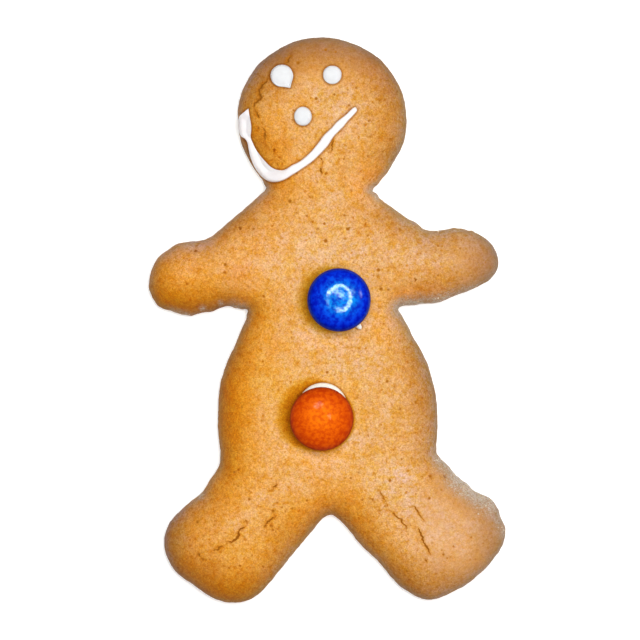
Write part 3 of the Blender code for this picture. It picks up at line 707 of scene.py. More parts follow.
def faceTints(points, normals, rim, depth):
    spots = points / mm
    flour = flourOn(spots, depth)
    patches = patchesOn(points, spots, normals)
    # which way the edge near a point faces, from all the edge around it, nearest counting most; this sets how
    # much painted sheen or painted shade the point gets
    sparse = evenRing(rim, 1.0 * mm)
    facing = -inwardOf(sparse) @ np.array(browningAndSideLight["litSide"])

    def facingNear(squares):
        weight = 1.0 / squares ** 2
        return (weight @ facing) / weight.sum(axis=1)

    side = overEdge(points, sparse, browningAndSideLight["spread"], facingNear)
    # share of painted shade: more on edges facing away from the light and on the left half
    deep = 0.5 - 0.5 * side - browningAndSideLight["leftShadeTilt"] * spots[:, 0]
    swing, size = browningAndSideLight["wander"]
    depth = depth + swing * softNoise(spots, size, 80.0) * np.clip(depth / 4.0, 0.0, 1.0)
    calm = np.zeros(len(points))
    for middle, radii, most in calmPatches:
        calm = np.maximum(calm, most * smoothStep(1.2, 0.5, farFrom(spots, middle, radii)))
    return {"flour": flour, "calm": calm, "shadedSide": np.clip(deep, 0.0, 1.0),
            "edgeDepth": np.clip(depth / browningAndSideLight["reach"], 0.0, 1.0)}, patches


# finish of the crust: linear colours; the ramps give the colour at a distance in mm from the edge, as a lit
# copy with a greyer painted sheen and a shaded copy with a more orange painted shade
crustFinish = {
    "litEdge": [(0.0, (0.345, 0.21, 0.112)), (1.2, (0.43, 0.225, 0.10)), (2.4, (0.49, 0.235, 0.084)),
                  (4.0, (0.55, 0.26, 0.082)), (6.5, (0.625, 0.312, 0.112)), (10.0, (0.66, 0.355, 0.155)),
                  (16.0, (0.665, 0.368, 0.165))],
    "shadedEdge": [(0.0, (0.35, 0.165, 0.05)), (1.2, (0.46, 0.17, 0.018)), (2.4, (0.51, 0.186, 0.013)),
                   (4.0, (0.58, 0.225, 0.021)), (6.5, (0.65, 0.28, 0.048)), (10.0, (0.68, 0.332, 0.102)),
                   (16.0, (0.69, 0.37, 0.145))],
    "underside": (0.42, 0.20, 0.06),
    "crack": (0.275, 0.084, 0.003),
    "stain": (0.42, 0.155, 0.012),
    "calm": (0.975, 0.95, 0.86),
    "flouredCrust": (0.32, 0.245, 0.145),
    "flouredPink": (0.40, 0.265, 0.19),
    "flour": (0.50, 0.43, 0.355),
    # layers of mottling: size in mm, detail, noise range, multipliers at the dark and the light end
    "layers": [
        (0.28, 1.0, (0.30, 0.70), (0.85, 0.80, 0.77), (1.12, 1.16, 1.17)),
        (0.70, 3.0, (0.28, 0.55), (0.88, 0.76, 0.24), (1.02, 1.06, 1.17)),
        (1.6, 2.0, (0.30, 0.60), (0.96, 0.86, 0.45), (1.01, 1.03, 1.14)),
        (3.4, 1.0, (0.30, 0.62), (0.99, 0.94, 0.74), (1.0, 1.02, 1.10)),
        (9.0, 2.0, (0.32, 0.68), (0.99, 0.95, 0.80), (1.01, 1.04, 1.14)),
    ],
    # sandy grains, each one colour: size in mm and the multipliers it lies between
    "grains": [
        (0.36, (0.91, 0.87, 0.84), (1.08, 1.12, 1.15)),
        (0.90, (0.98, 0.93, 0.88), (1.01, 1.06, 1.02)),
    ],
    # browned specks: mm from one to the next, share of places that have one, radius in mm, multiplier
    "specks": [
        (1.5, 0.45, 0.30, (0.82, 0.62, 0.24)),
        (2.7, 0.45, 0.30, (0.66, 0.47, 0.14)),
        (5.5, 0.50, 0.45, (0.52, 0.34, 0.08)),
    ],
    # how flour lies: strength of its tint, then blotches, grains and gaps as size in mm and noise range
    "flouring": {"tint": 0.85, "blotches": (0.8, 0.40, 0.60), "grains": (0.34, 0.60, 0.86), "thicken": 0.34,
                 "cover": 5.0, "gaps": (0.60, 0.32, 0.44), "gapDark": 0.8},
    "speckLook": {"sizes": (0.5, 1.3), "edge": (0.45, 1.1), "ragged": (0.6, 0.3)},
    "crackDark": 1.6,
    "bump": {"fine": 0.8, "strength": 0.5, "depth": 0.1},
    "shader": {"Roughness": 0.8, "Specular IOR Level": 0.15, "Subsurface Weight": 0.1,
               "Subsurface Scale": 0.0008, "Subsurface Radius": (1.0, 0.4, 0.12)},
}


def fillRamp(node, stops):
    ramp = node.color_ramp
    while len(ramp.elements) < len(stops):
        ramp.elements.new(1.0)
    for element, (place, colour) in zip(ramp.elements, stops):
        element.position = place
        element.color = (*colour, 1.0)


def edgeRamp(tree, depth, stops):
    node = makeNode(tree, "ValToRGB", {"Fac": depth})
    fillRamp(node, [(place / browningAndSideLight["reach"], colour) for place, colour in stops])
    return node.outputs["Color"]


def flouredOver(tree, place, colour):
    f, lies = crustFinish, crustFinish["flouring"]
    flour = readValue(tree, "flour")
    size, low, high = lies["blotches"]
    blotch = remap(tree, noiseFac(tree, place, size * mm, 2.0, 0.6), low, high)
    dusty = mixColour(tree, blotch, f["flouredCrust"], f["flouredPink"])
    colour = mixColour(tree, calc(tree, "MULTIPLY", flour, lies["tint"]), colour, dusty)
    # the thicker the flour, the closer its grains lie
    size, low, high = lies["grains"]
    thicker = calc(tree, "MULTIPLY", flour, lies["thicken"])
    dust = calc(tree, "ADD", noiseFac(tree, place, size * mm, 2.0, 0.7), thicker)
    cover = calc(tree, "MULTIPLY", flour, lies["cover"], clamp=True)
    dusted = calc(tree, "MULTIPLY", cover, remap(tree, dust, low, high))
    colour = mixColour(tree, dusted, colour, f["flour"])
    size, low, high = lies["gaps"]
    gaps = remap(tree, noiseFac(tree, place, size * mm, 2.0, 0.7), low, high, lies["gapDark"], 0.0)
    return mixColour(tree, calc(tree, "MULTIPLY", flour, gaps), colour, f["crack"])


def crustMaterial():
    f = crustFinish
    material, tree, shader = startMaterial("gingerbreadCrust", f["shader"])
    place = flatPlace(tree)
    depth = readValue(tree, "edgeDepth")
    # lit and shaded copies of the crust colour, mixed by side: painted sheen and painted shade
    colour = mixColour(tree, readValue(tree, "shadedSide"), edgeRamp(tree, depth, f["litEdge"]),
                       edgeRamp(tree, depth, f["shadedEdge"]))
    colour = mixColour(tree, readValue(tree, "underside"), colour, f["underside"])
    colour = tinted(tree, colour, makeNode(tree, "Attribute", attribute_name="tintAndLightPatches").outputs["Color"])
    plain = tinted(tree, colour, f["calm"])
    waves = []
    for size, detail, span, low, high in f["layers"]:
        waves.append(noiseFac(tree, place, size * mm, detail, 0.6))
        colour = tinted(tree, colour, mixColour(tree, remap(tree, waves[-1], *span), low, high))
    for size, low, high in f["grains"]:
        _, chances = cellNoise(tree, place, size * mm)
        colour = tinted(tree, colour, mixColour(tree, chances[1], low, high))
    look = f["speckLook"]
    size, reach = look["ragged"]
    ragged = noiseShift(tree, place, size * mm, reach * mm)
    for apart, among, radius, tint in f["specks"]:
        away, chances = cellNoise(tree, ragged, apart * mm)
        chosen = remap(tree, chances[0], 0.98 - among, 1.02 - among)
        share = calc(tree, "DIVIDE", away, remap(tree, chances[1], 0.0, 1.0, *look["sizes"]))
        edges = [part * (radius / apart) for part in look["edge"]]
        dot = remap(tree, share, *edges, 1.0, 0.0)
        fleck = mixColour(tree, calc(tree, "MULTIPLY", dot, chosen), (1.0, 1.0, 1.0), tint)
        colour = tinted(tree, colour, fleck)
    colour = mixColour(tree, readValue(tree, "calm"), colour, plain)
    # cracks and pores darkened: partly their own colour, partly painted shade
    crackAndPitShade = readValue(tree, "crackAndPitShade")
    wide = calc(tree, "MULTIPLY", crackAndPitShade, f["crackDark"], clamp=True)
    colour = mixColour(tree, wide, colour, f["stain"])
    colour = mixColour(tree, calc(tree, "POWER", crackAndPitShade, f["crackDark"]), colour, f["crack"])
    colour = flouredOver(tree, place, colour)
    tree.links.new(colour, shader.inputs["Base Color"])
    grain = f["bump"]
    height = calc(tree, "ADD", calc(tree, "MULTIPLY", waves[0], grain["fine"]), waves[1])
    addBump(tree, shader, height, grain["strength"], grain["depth"])
    return material


# piped icing: places in mm
icingDots = {
    "eye_left": {"centre": (-9.95, 53.75), "radii": (2.5, 2.45), "tail": (1.83, -2.74), "height": 1.0},
    "eye_right": {"centre": (1.15, 53.9), "radii": (2.05, 2.05), "tail": (0.0, 0.0), "height": 0.9},
    "nose": {"centre": (-5.3, 44.78), "radii": (1.95, 2.1), "tail": (0.0, 0.0), "height": 0.9},
}
icingStyle = {
    "segments": 120, "rings": 24, "sink": 0.25, "thinnest": 0.05, "edgePower": 3.0,
    "wobble": 0.025, "wobbleSize": 1.5, "ripple": 0.04, "rippleSize": 1.6,
    "finish": {"Roughness": 0.42, "Specular IOR Level": 0.35, "Subsurface Weight": 0.25,
               "Subsurface Scale": 0.0006, "Subsurface Radius": (1.0, 0.9, 0.8)},
}
smile = {  # the two edges of the stroke, from the dripping left corner to the right end
    "outer": [(-17.5, 46.45), (-18.3, 45.8), (-19.4, 44.8), (-19.6, 43.2), (-19.5, 41.8), (-19.0, 40.6),
              (-18.2, 40.0), (-17.6, 39.2), (-17.3, 37.8), (-17.05, 36.5), (-16.6, 35.1), (-15.9, 33.6),
              (-15.0, 32.3), (-14.0, 31.3), (-12.9, 30.6), (-11.6, 30.35), (-10.2, 30.55), (-8.9, 31.1),
              (-7.7, 31.85), (-6.4, 32.65), (-5.2, 33.45), (-4.1, 34.2), (-3.1, 34.95), (-2.1, 35.9),
              (-1.1, 36.9), (-0.1, 38.0), (0.6, 38.95), (1.1, 39.8), (1.7, 40.6), (2.3, 41.2), (2.9, 41.8),
              (3.6, 42.5), (4.0, 43.0), (4.6, 43.75), (5.3, 44.5), (5.95, 45.2), (6.5, 45.85), (6.62, 46.35)],
    "inner": [(-17.3, 46.55), (-17.15, 45.4), (-16.92, 44.1), (-16.72, 42.8), (-16.72, 41.6), (-16.82, 40.6),
              (-16.7, 39.8), (-16.35, 39.0), (-15.9, 38.0), (-15.2, 36.85), (-14.4, 35.8), (-13.6, 34.9),
              (-12.8, 34.05), (-12.0, 33.45), (-11.2, 33.1), (-10.4, 32.95), (-9.5, 33.0), (-8.6, 33.45),
              (-7.7, 34.05), (-6.8, 34.45), (-5.9, 34.95), (-5.0, 35.65), (-4.2, 36.35), (-3.4, 37.15),
              (-2.6, 38.1), (-1.8, 39.1), (-1.15, 40.05), (-0.55, 40.8), (0.3, 41.6), (1.0, 42.25),
              (1.55, 42.9), (2.2, 43.6), (2.9, 44.2), (3.7, 44.8), (4.3, 45.3), (4.95, 45.95),
              (5.6, 46.55), (6.25, 46.85)],
    "step": 0.14, "across": 26, "height": 0.75, "fullWidth": 1.6, "keepIn": -0.15, "levelled": 0.8,
    "calming": 11,                # stations over which the icing bridges the bumps of the crust
    "cut": 1.0, "fill": 1.1,      # most that the levelled icing lies below and above the crust
    "ripple": 0.05, "rippleSize": 1.8,
}
headRound = {"middle": (-1.1, 43.9), "radius": 18.6}
icingColours = {  # duller and brighter parts; the smile and the beds under the candies are whiter than the dots as painted light that offsets the shade on the slope of the head and under the candies
    "dots": ((0.67, 0.665, 0.68), (0.71, 0.705, 0.72)),
    "smile": ((0.82, 0.77, 0.78), (0.87, 0.82, 0.82)),
    "bed": ((0.92, 0.87, 0.78), (0.96, 0.94, 0.90)),
}


def smileEdges():
    # the two edges with the same number of stations, kept within the rim of the head
    outer, inner = (curveThrough(np.array(smile[key]) * mm, 12) for key in ("outer", "inner"))
    both = evenLine(np.column_stack([(outer + inner) / 2, outer, inner]), smile["step"] * mm)
    middle = np.array(headRound["middle"]) * mm
    most = (headRound["radius"] - smile["keepIn"]) * mm
    edges = []
    for edge in (both[:, 2:4], both[:, 4:6]):
        out = np.hypot(*(edge - middle).T)
        edges.append(middle + (edge - middle) * np.minimum(1.0, most / out)[:, None])
    return edges


def icingEdges():
    # outlines of everything piped on the face, each with its sideways direction
    lines = [(edge, sidewaysOf(edge)) for edge in smileEdges()]
    for shape in icingDots.values():
        ring = blobFlat(shape, icingStyle["segments"], 1)[0][:-1]
        lines.append((ring, inwardOf(ring)))
    return lines


def besideIcing():
    shifts = (-0.5, -0.25, 0.0, 0.25, 0.5)
    return np.vstack([edge + side * shift * mm for edge, side in icingEdges() for shift in shifts])


def makeIcingMaterial(name, dull, bright):
    material, tree, shader = startMaterial(name, icingStyle["finish"])
    place = flatPlace(tree)
    tint = remap(tree, noiseFac(tree, place, 1.4 * mm), 0.3, 0.7)
    tree.links.new(mixColour(tree, tint, dull, bright), shader.inputs["Base Color"])
    addBump(tree, shader, noiseFac(tree, place, 0.5 * mm), 0.15, 0.05)
    return material


def cookieSurface(piece):
    mesh = piece.data
    points = [v.co.copy() for v in mesh.vertices]
    return BVHTree.FromPolygons(points, [tuple(p.vertices) for p in mesh.polygons])


def onCrust(surface, flat):
    # the crust straight below each place
    found = []
    for x, y in flat:
        hit = surface.ray_cast(Vector((x, y, 0.05)), Vector((0.0, 0.0, -1.0)))[0]
        if hit is None:
            hit = surface.find_nearest(Vector((x, y, 0.004)))[0]
        found.append(hit)
    return np.array(found)


def blobFlat(shape, segments, rings):
    centre, radii, tail = (np.array(shape[key]) * mm for key in ("centre", "radii", "tail"))
    pull = math.atan2(tail[1], tail[0])
    # a pulled tail: straight sides that run from the round part to the tip
    spread = math.acos(min(1.0, radii.mean() / max(np.hypot(*tail), 1e-9)))
    flat, share = [], []
    for ring in range(rings, 0, -1):
        out = math.sin(0.5 * math.pi * ring / rings)
        for turn in np.linspace(0.0, 2.0 * math.pi, segments, endpoint=False):
            spoke = np.array([math.cos(turn), math.sin(turn)])
            aside = abs((turn - pull + math.pi) % (2.0 * math.pi) - math.pi)
            stretch = 1.0 / math.cos(max(0.0, spread - aside))
            for angle, reach, width in shape.get("lobes", ()):
                away = (turn - math.radians(angle) + math.pi) % (2.0 * math.pi) - math.pi
                stretch += reach * math.exp(-(math.degrees(away) / width) ** 4)
            flat.append(centre + out * radii * stretch * spoke)
            share.append(out)
    return np.array(flat + [centre]), np.array(share + [0.0])


def blobFaces(segments, rings):
    count = segments * rings + 1
    faces = []
    for sheet in (0, count):
        for i in range(segments):
            j = (i + 1) % segments
            for a in range(sheet, sheet + (rings - 1) * segments, segments):
                quad = (a + i, a + j, a + segments + j, a + segments + i)
                faces.append(quad if sheet == 0 else quad[::-1])
            last = sheet + (rings - 1) * segments
            tip = (last + i, last + j, sheet + count - 1)
            faces.append(tip if sheet == 0 else tip[::-1])
    faces += [(i, count + i, count + (i + 1) % segments, (i + 1) % segments) for i in range(segments)]
    return faces


def buildDots(surface, material):
    style = icingStyle
    for name, shape in icingDots.items():
        flat, share = blobFlat(shape, style["segments"], style["rings"])
        edge = flatNoise(flat, style["wobbleSize"], 50.0)
        flat = flat + (flat - flat[-1]) * (edge * style["wobble"])[:, None]
        ground = onCrust(surface, flat)[:, 2]
        level = ground.mean()
        base = np.where(share < 0.85, level, level + (ground - level) * smoothStep(0.8, 1.0, share))
        dome = (1.0 - share ** style["edgePower"]) ** (1.0 / style["edgePower"])
        ripple = style["ripple"] * flatNoise(flat, style["rippleSize"], 52.0)
        top = base + (shape["height"] * dome * (1.0 + ripple) + 0.02) * mm
        bottom = np.minimum(ground - style["sink"] * mm, top - style["thinnest"] * mm)
        vertices = np.vstack([np.c_[flat, top], np.c_[flat, bottom]])
        makePiece("icing_dot_" + name, vertices, blobFaces(style["segments"], style["rings"]),
                  material, ["icing_" + name])
    print("icing dots piped:", len(icingDots))


def strokeFaces(stations, row):
    # a top sheet and the same sheet below it, closed along both edges and at both ends
    below = stations * row
    faces = []
    for i in range(stations - 1):
        a, b = i * row, i * row + row - 1
        for k in range(a, b):
            faces.append((k, k + row, k + row + 1, k + 1))
            faces.append((below + k, below + k + 1, below + k + row + 1, below + k + row))
        faces.append((a, below + a, below + a + row, a + row))
        faces.append((b, b + row, below + b + row, below + b))
    for start, forward in ((0, True), ((stations - 1) * row, False)):
        for k in range(start, start + row - 1):
            quad = (k, k + 1, below + k + 1, below + k)
            faces.append(quad if forward else quad[::-1])
    return faces


def buildSmile(surface, material):
    outer, inner = smileEdges()
    stations = len(outer)
    shares = np.sin(np.linspace(-math.pi / 2, math.pi / 2, smile["across"] + 1))
    row = len(shares)
    part = (shares[None, :, None] + 1.0) / 2.0
    flat = outer[:, None] * part + inner[:, None] * (1.0 - part)
    wide = np.hypot(*(outer - inner).T) / mm
    seat = onCrust(surface, flat.reshape(-1, 2))
    ground = seat[:, 2].reshape(stations, row)
    # the icing levels itself out over the slope and over the pores of the crust
    window = np.hanning(smile["calming"] + 2)[1:-1]
    window /= window.sum()
    beyond = smile["calming"] // 2
    heights = np.pad(ground, ((beyond, beyond), (0, 0)), mode="edge")
    calm = np.stack([np.convolve(heights[:, k], window, "valid") for k in range(row)], axis=1)
    level = calm.mean(axis=1, keepdims=True)
    base = calm + (level - calm) * smile["levelled"]
    base = np.clip(base, calm - smile["cut"] * mm, calm + smile["fill"] * mm)
    profile = np.maximum(0.0, 1.0 - np.abs(shares) ** 4) ** 0.4
    ends = np.minimum(np.arange(stations), np.arange(stations)[::-1]) * smile["step"]
    swell = np.minimum(1.0, wide / smile["fullWidth"]) ** 0.8 * np.clip(ends / 0.5, 0.02, 1.0) ** 0.5
    ripple = 1.0 + smile["ripple"] * softNoise(seat / mm, smile["rippleSize"], 62.0).reshape(stations, row)
    lift = smile["height"] * swell[:, None] * profile[None, :] * ripple
    rise = profile[None, :] * np.clip(swell, 0.0, 1.0)[:, None]
    topHeight = np.maximum(ground + (base - ground) * rise + lift * mm, ground + 0.02 * mm)
    top = np.concatenate([flat, topHeight[:, :, None]], axis=2).reshape(-1, 3)
    bottom = top.copy()
    bottom[:, 2] = ground.reshape(-1) - icingStyle["sink"] * mm
    vertices = np.vstack([top, bottom])
    makePiece("icing_smile", vertices, strokeFaces(stations, row), material, ["icing_mouth"])
    print("smile piped:", stations, "stations")


# candy buttons: lentils in a sugar shell; shell colours are linear, at a share of the radius from a spot
# moved toward the light, which paints shading: lighter there and darker at the rim, and the paler azure
# middle of the blue one is a painted glow round its highlight;
# polish is where the shell is still glossy: place, reach in mm and how glossy
candies = {
    "blue": {
        "tilt": (0.0, 0.0), "power": 2.4, "dent": 0.015, "peel": 0.002, "paintedLightSpot": (0.7, 0.6),
        "shell": [(0.0, (0.002, 0.165, 0.78)), (0.40, (0.002, 0.145, 0.66)), (0.60, (0.002, 0.058, 0.62)),
                  (0.75, (0.002, 0.025, 0.55)), (0.86, (0.001, 0.012, 0.46)), (0.94, (0.001, 0.011, 0.31)),
                  (1.0, (0.001, 0.012, 0.14))],
        "mottle": ((0.7, 0.28, 0.74), (1.3, 1.65, 1.16)), "mottleSize": 1.0,
        "polish": [((0.6, 0.4), 4.4, 1.0), ((4.9, 1.2), 0.9, 0.8)],
        "finish": {"Roughness": 0.2, "Specular IOR Level": 0.1, "Specular Tint": (0.15, 1.0, 0.9),
                   "Coat Roughness": 0.05, "Coat IOR": 1.85},
        "worn": 0.45, "bump": (0.4, 1.0, 0.017),    # grain size in mm, strength and depth in mm
    },
    "orange": {
        "tilt": (3.0, 2.0), "power": 2.05, "dent": 0.05, "peel": 0.006, "paintedLightSpot": (0.1, 0.9),
        "shell": [(0.0, (0.80, 0.145, 0.0012)), (0.36, (0.75, 0.125, 0.001)), (0.50, (0.68, 0.097, 0.001)),
                  (0.64, (0.62, 0.079, 0.001)), (0.76, (0.57, 0.066, 0.001)), (0.88, (0.51, 0.054, 0.001)),
                  (0.95, (0.43, 0.040, 0.001)), (1.0, (0.28, 0.022, 0.001))],
        "mottle": ((0.82, 0.58, 0.8), (1.1, 1.25, 1.2)), "mottleSize": 0.9,
        "polish": [((-1.3, 3.3), 0.8, 0.4), ((-0.4, 3.2), 0.8, 0.4), ((1.6, 1.0), 0.45, 0.8),
                   ((1.6, 0.4), 0.35, 0.6)],
        "finish": {"Roughness": 0.45, "Specular IOR Level": 0.06, "Specular Tint": (1.0, 0.8, 0.6),
                   "Coat Roughness": 0.15},
        "worn": 0.5, "bump": (0.5, 0.8, 0.03),
    },
}
candyShape = {"segments": 200, "rings": 110, "radius": 7.0, "thickness": 5.8}


def shellMaterial(name, candy):
    material, tree, shader = startMaterial("sugarShell_" + name, candy["finish"])
    place = flatPlace(tree)
    ramp = makeNode(tree, "ValToRGB", {"Fac": readValue(tree, "fromMiddle")})
    fillRamp(ramp, candy["shell"])
    mottle = noiseFac(tree, place, candy["mottleSize"] * mm, 3.0, 0.6)
    tint = mixColour(tree, remap(tree, mottle, 0.34, 0.66), *candy["mottle"])
    tree.links.new(tinted(tree, ramp.outputs["Color"], tint), shader.inputs["Base Color"])
    worn = remap(tree, noiseFac(tree, place, 0.45 * mm, 2.0, 0.6), 0.38, 0.54, candy["worn"], 1.0)
    tree.links.new(calc(tree, "MULTIPLY", readValue(tree, "polish"), worn), shader.inputs["Coat Weight"])
    size, strength, depth = candy["bump"]
    bumpy = addBump(tree, shader, noiseFac(tree, place, size * mm), strength, depth)
    tree.links.new(bumpy, shader.inputs["Coat Normal"])
    return material


def lentilForm(power):
    # a point at the top, rings of points round the candy and a point at the bottom
    radius, half = candyShape["radius"] * mm, candyShape["thickness"] / 2 * mm
    segments, rings = candyShape["segments"], candyShape["rings"]
    points = [Vector((0.0, 0.0, half))]
    for i in range(1, rings):
        angle = math.pi * i / rings
        out = radius * math.sin(angle) ** (2 / power)
        up = half * math.copysign(abs(math.cos(angle)) ** (2 / power), math.cos(angle))
        for turn in np.linspace(0.0, 2.0 * math.pi, segments, endpoint=False):
            points.append(Vector((out * math.cos(turn), out * math.sin(turn), up)))
    points.append(Vector((0.0, 0.0, -half)))
    faces = []
    last = 1 + (rings - 2) * segments
    for j in range(segments):
        k = (j + 1) % segments
        faces.append((0, 1 + j, 1 + k))
        for a in range(1, last, segments):
            faces.append((a + j, a + segments + j, a + segments + k, a + k))
        faces.append((last + j, len(points) - 1, last + k))
    return np.array(points), faces


def buildCandy(name, candy):
    low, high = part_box("candy_" + name)
    centre = (low + high) / 2
    radius = candyShape["radius"] * mm
    spots, faces = lentilForm(candy["power"])
    seed = 70.0 + len(name)
    dent = candy["dent"] * softNoise(spots / mm, 4.5, seed)
    dent += candy["peel"] * softNoise(spots / mm, 0.9, seed + 1)
    length = np.linalg.norm(spots, axis=1)[:, None]
    spots = spots + spots / length * (dent * mm)[:, None]
    turn = Euler([math.radians(a) for a in candy["tilt"]] + [0.0]).to_matrix()
    placed = [turn @ Vector(p) + centre for p in spots]
    piece = makePiece("candy_button_" + name, placed, faces, shellMaterial(name, candy),
                      ["candy_" + name])
    share = np.clip(np.hypot(*spots[:, :2].T) / radius, 0.0, 1.0)
    shift = (1.0 - share ** 2) * (spots[:, 2] > 0.0)    # the rim itself stays even all round
    # the middle of the colour ramp is moved toward the light: painted shading
    spot = spots[:, :2] - np.array(candy["paintedLightSpot"]) * mm * shift[:, None]
    storeValue(piece.data, "fromMiddle", np.clip(np.hypot(*spot.T) / radius, 0.0, 1.0))
    polish = np.zeros(len(spots))
    ragged = 0.25 * softNoise(spots / mm, 0.7, seed + 2)
    for middle, reach, weight in candy["polish"]:
        away = farFrom(spots / mm, middle) + reach * ragged
        polish = np.maximum(polish, weight * smoothStep(1.15 * reach, 0.7 * reach, away))
    storeValue(piece.data, "polish", polish * (spots[:, 2] > 0.0))
    print("candy set:", name)


# icing under the candies
dabs = {
    "blue": {"centre": (2.6, 4.3), "radii": (6.1, 6.1), "tail": (0.0, 0.0), "height": 1.5,
             "lobes": [(-53.0, 0.24, 2.4), (-48.8, 0.27, 1.6), (-57.0, 0.22, 1.8), (-53.6, 0.13, 1.4)]},
    "orange": {"centre": (-0.96, -19.3), "radii": (5.5, 5.5), "tail": (0.0, 0.0), "height": 1.9},
}
dabStyle = {"segments": 96, "rings": 16, "edgePower": 2.6, "intoCandy": 0.12}


def buildDab(name, shape, surface, material):
    low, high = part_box("candy_" + name)
    middle = (low + high) / 2
    candy, style = candies[name], dabStyle
    flat, share = blobFlat(shape, style["segments"], style["rings"])
    ground = onCrust(surface, flat)[:, 2]
    dome = (1.0 - share ** style["edgePower"]) ** (1.0 / style["edgePower"])
    top = ground.mean() + shape["height"] * dome * mm + 0.02 * mm
    # where the candy sits, its underside presses the icing flat
    offset = flat - np.array([middle.x, middle.y])
    out = np.clip(np.hypot(*offset.T) / (candyShape["radius"] * mm), 0.0, 1.0)
    lean = np.tan(np.radians(candy["tilt"]))
    belly = candyShape["thickness"] / 2 * mm * (1.0 - out ** candy["power"]) ** (1 / candy["power"])
    cup = middle.z + offset @ np.array([-lean[1], lean[0]]) - belly
    top = np.where(out < 1.0, np.minimum(top, cup + style["intoCandy"] * mm), top)
    bottom = ground - icingStyle["sink"] * mm
    top = np.maximum(top, bottom + icingStyle["thinnest"] * mm)
    makePiece("icing_bed_" + name, np.vstack([np.c_[flat, top], np.c_[flat, bottom]]),
              blobFaces(style["segments"], style["rings"]), material, ["icing_dab_" + name])


# crumbs and grains of flour left on the crust
crumbStyle = {
    "count": 110, "size": (0.12, 0.38), "seed": 5,
    "pale": (0.66, 0.55, 0.42), "brown": (0.50, 0.34, 0.19),
}


def crumbMaterial():
    material, tree, shader = startMaterial("paleCrumb", {"Roughness": 0.85, "Specular IOR Level": 0.2})
    tint = noiseFac(tree, flatPlace(tree), 3.0 * mm, 1.0)
    colour = mixColour(tree, remap(tree, tint, 0.35, 0.65), crumbStyle["pale"], crumbStyle["brown"])
    tree.links.new(colour, shader.inputs["Base Color"])
    return material


def buildCrumbs(cookie):
    draw = np.random.RandomState(crumbStyle["seed"])
    count = len(cookie.data.vertices)
    flour = np.zeros(count, np.float32)
    cookie.data.attributes["flour"].data.foreach_get("value", flour)
    chance = flour.astype(float) ** 2 * np.array([v.co.z > 3.2 * mm for v in cookie.data.vertices])
    work = bmesh.new()
    for index in draw.choice(count, crumbStyle["count"], p=chance / chance.sum()):
        seat = cookie.data.vertices[int(index)]
        size = draw.uniform(*crumbStyle["size"]) ** 1.6 * mm
        ball = bmesh.ops.create_icosphere(work, subdivisions=1, radius=size)
        shift = seat.co + seat.normal * size * 0.3
        stretch = draw.uniform(0.6, 1.3, 3)
        for vertex in ball["verts"]:
            rough = 1.0 + 0.3 * draw.uniform(-1, 1)
            vertex.co = Vector([c * k * rough for c, k in zip(vertex.co, stretch)]) + shift
    mesh = bpy.data.meshes.new("crumbs")
    work.to_mesh(mesh)
    work.free()
    mesh.materials.append(crumbMaterial())
    piece = addObject("crumbs", mesh)
    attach(piece, "root")
    print("crumbs scattered:", crumbStyle["count"])


# studio: pale lit floor, soft light from above, a curl of small lamps that the shells mirror
studio = {
    "floorSize": 30.0, "floor": (0.9, 0.9, 0.9), "floorGlow": 0.22,
    "white": (1.0, 1.0, 1.0), "sky": 0.17, "backdrop": 1.2,
    "sunStrength": 2.605, "sunColour": (1.082, 1.0, 1.0), "sunAngle": 50.0, "sunFrom": (0.17, 0.11, 1.0),
    "lampHeight": 0.55,
    # curves of lamps in metres from the middle, with the gap between lamps, their size and power
    "lampCurves": [
        {"knots": [(-0.113, 0.087), (-0.053, 0.125), (-0.004, 0.187), (0.050, 0.173), (0.106, 0.124),
                   (0.133, 0.069), (0.117, 0.007), (0.112, -0.039), (0.077, -0.078), (0.032, -0.099),
                   (0.0, -0.084)], "gap": 0.022, "size": 0.046, "power": 0.031, "colour": (0.78, 1.0, 0.97)},
        {"knots": [(-0.103, 0.074), (-0.060, 0.101), (-0.015, 0.080), (0.011, 0.047), (0.035, 0.033)],
         "gap": 0.020, "size": 0.038, "power": 0.018, "colour": (0.78, 1.0, 0.97)},
        {"knots": [(-0.110, -0.044), (-0.108, -0.020), (-0.106, 0.007), (-0.110, 0.040)],
         "gap": 0.028, "size": 0.040, "power": 0.008, "colour": (0.6, 1.0, 0.97)},
        {"knots": [(0.18, 0.10), (0.20, 0.14)], "gap": 0.05, "size": 0.07, "power": 0.016,
         "colour": (0.5, 1.0, 0.97)},
        {"knots": [(0.44, 0.10), (0.44, 0.17)], "gap": 0.07, "size": 0.12, "power": 0.06,
         "colour": (1.0, 1.0, 1.0)},
    ],
}
view = {"distance": 1.5, "frameWidth": 141.3, "offset": (-1.55, 0.0), "focusHeight": 3.0}


def aimFrom(lamp, direction):
    lamp.rotation_mode = "QUATERNION"
    lamp.rotation_quaternion = Vector(direction).to_track_quat("Z", "Y")


def layFloor():
    size = studio["floorSize"] / 2
    mesh = bpy.data.meshes.new("floor")
    corners = [(-size, -size, 0), (size, -size, 0), (size, size, 0), (-size, size, 0)]
    mesh.from_pydata(corners, [], [(0, 1, 2, 3)])
    material, _, _ = startMaterial("paleFloor", {
        "Base Color": studio["floor"], "Roughness": 0.9, "Specular IOR Level": 0.0,
        "Emission Color": studio["white"], "Emission Strength": studio["floorGlow"]})
    mesh.materials.append(material)
    floor = addObject("floor", mesh)
    floor.location.z = -0.0001


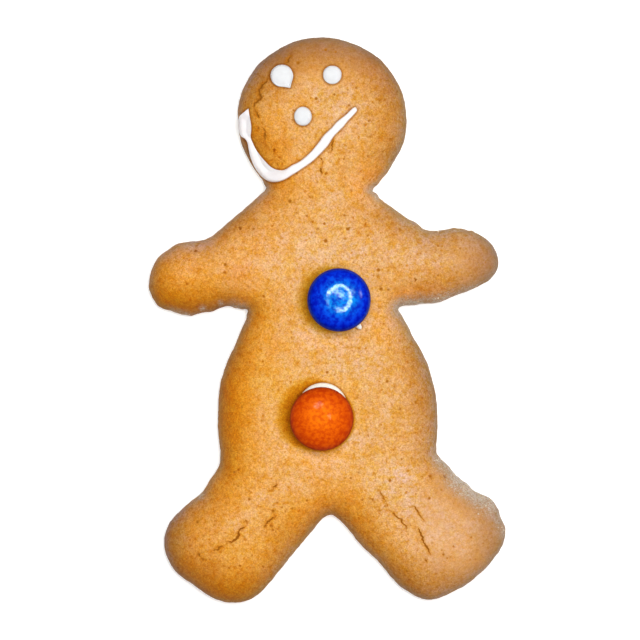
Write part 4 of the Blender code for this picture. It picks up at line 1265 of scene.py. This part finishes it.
def hangSky():
    # the sky that lights the cookie is dimmer than the one that the camera sees
    world = bpy.data.worlds.new("studioSky")
    bpy.context.scene.world = world
    world.use_nodes = True
    world.cycles_visibility.glossy = False
    tree = world.node_tree
    sky = tree.nodes["Background"]
    setInput(sky.inputs["Color"], studio["white"])
    setInput(sky.inputs["Strength"], studio["sky"])
    backdrop = makeNode(tree, "Background", {"Color": studio["white"], "Strength": studio["backdrop"]})
    seen = makeNode(tree, "LightPath").outputs["Is Camera Ray"]
    mix = makeNode(tree, "MixShader", {0: seen, 1: sky.outputs[0], 2: backdrop.outputs[0]})
    tree.links.new(mix.outputs[0], tree.nodes["World Output"].inputs["Surface"])


def hangLamps():
    sun = bpy.data.lights.new("softSun", "SUN")
    sun.energy = studio["sunStrength"]
    sun.color = studio["sunColour"]
    sun.angle = math.radians(studio["sunAngle"])
    lamp = addObject("softSun", sun)
    aimFrom(lamp, studio["sunFrom"])
    lamp.visible_glossy = False
    for curve in studio["lampCurves"]:
        for x, y in evenLine(curveThrough(curve["knots"], 8), curve["gap"]):
            light = bpy.data.lights.new("gleamLamp", "AREA")
            light.shape = "DISK"
            light.size = curve["size"]
            light.energy = curve["power"]
            light.color = curve["colour"]
            lamp = addObject("gleamLamp", light)
            lamp.location = (x, y, studio["lampHeight"])
            aimFrom(lamp, lamp.location)


def setCamera():
    data = bpy.data.cameras.new("camera")
    data.sensor_width = 36.0
    data.lens = data.sensor_width * view["distance"] / (view["frameWidth"] * mm)
    data.clip_end = 100.0
    camera = addObject("camera", data)
    x, y = view["offset"]
    camera.location = (x * mm, y * mm, view["distance"] + view["focusHeight"] * mm)
    bpy.context.scene.camera = camera
    bpy.context.scene.view_settings.view_transform = "Standard"


cookie = buildCookie(crustMaterial())
surface = cookieSurface(cookie)
buildDots(surface, makeIcingMaterial("royalIcing", *icingColours["dots"]))
buildSmile(surface, makeIcingMaterial("royalIcingSmilePaintedLight", *icingColours["smile"]))
bedIcing = makeIcingMaterial("royalIcingBedPaintedLight", *icingColours["bed"])
for candyName, candy in candies.items():
    buildDab(candyName, dabs[candyName], surface, bedIcing)
    buildCandy(candyName, candy)
buildCrumbs(cookie)
layFloor()
hangSky()
hangLamps()
setCamera()
print("studio ready")
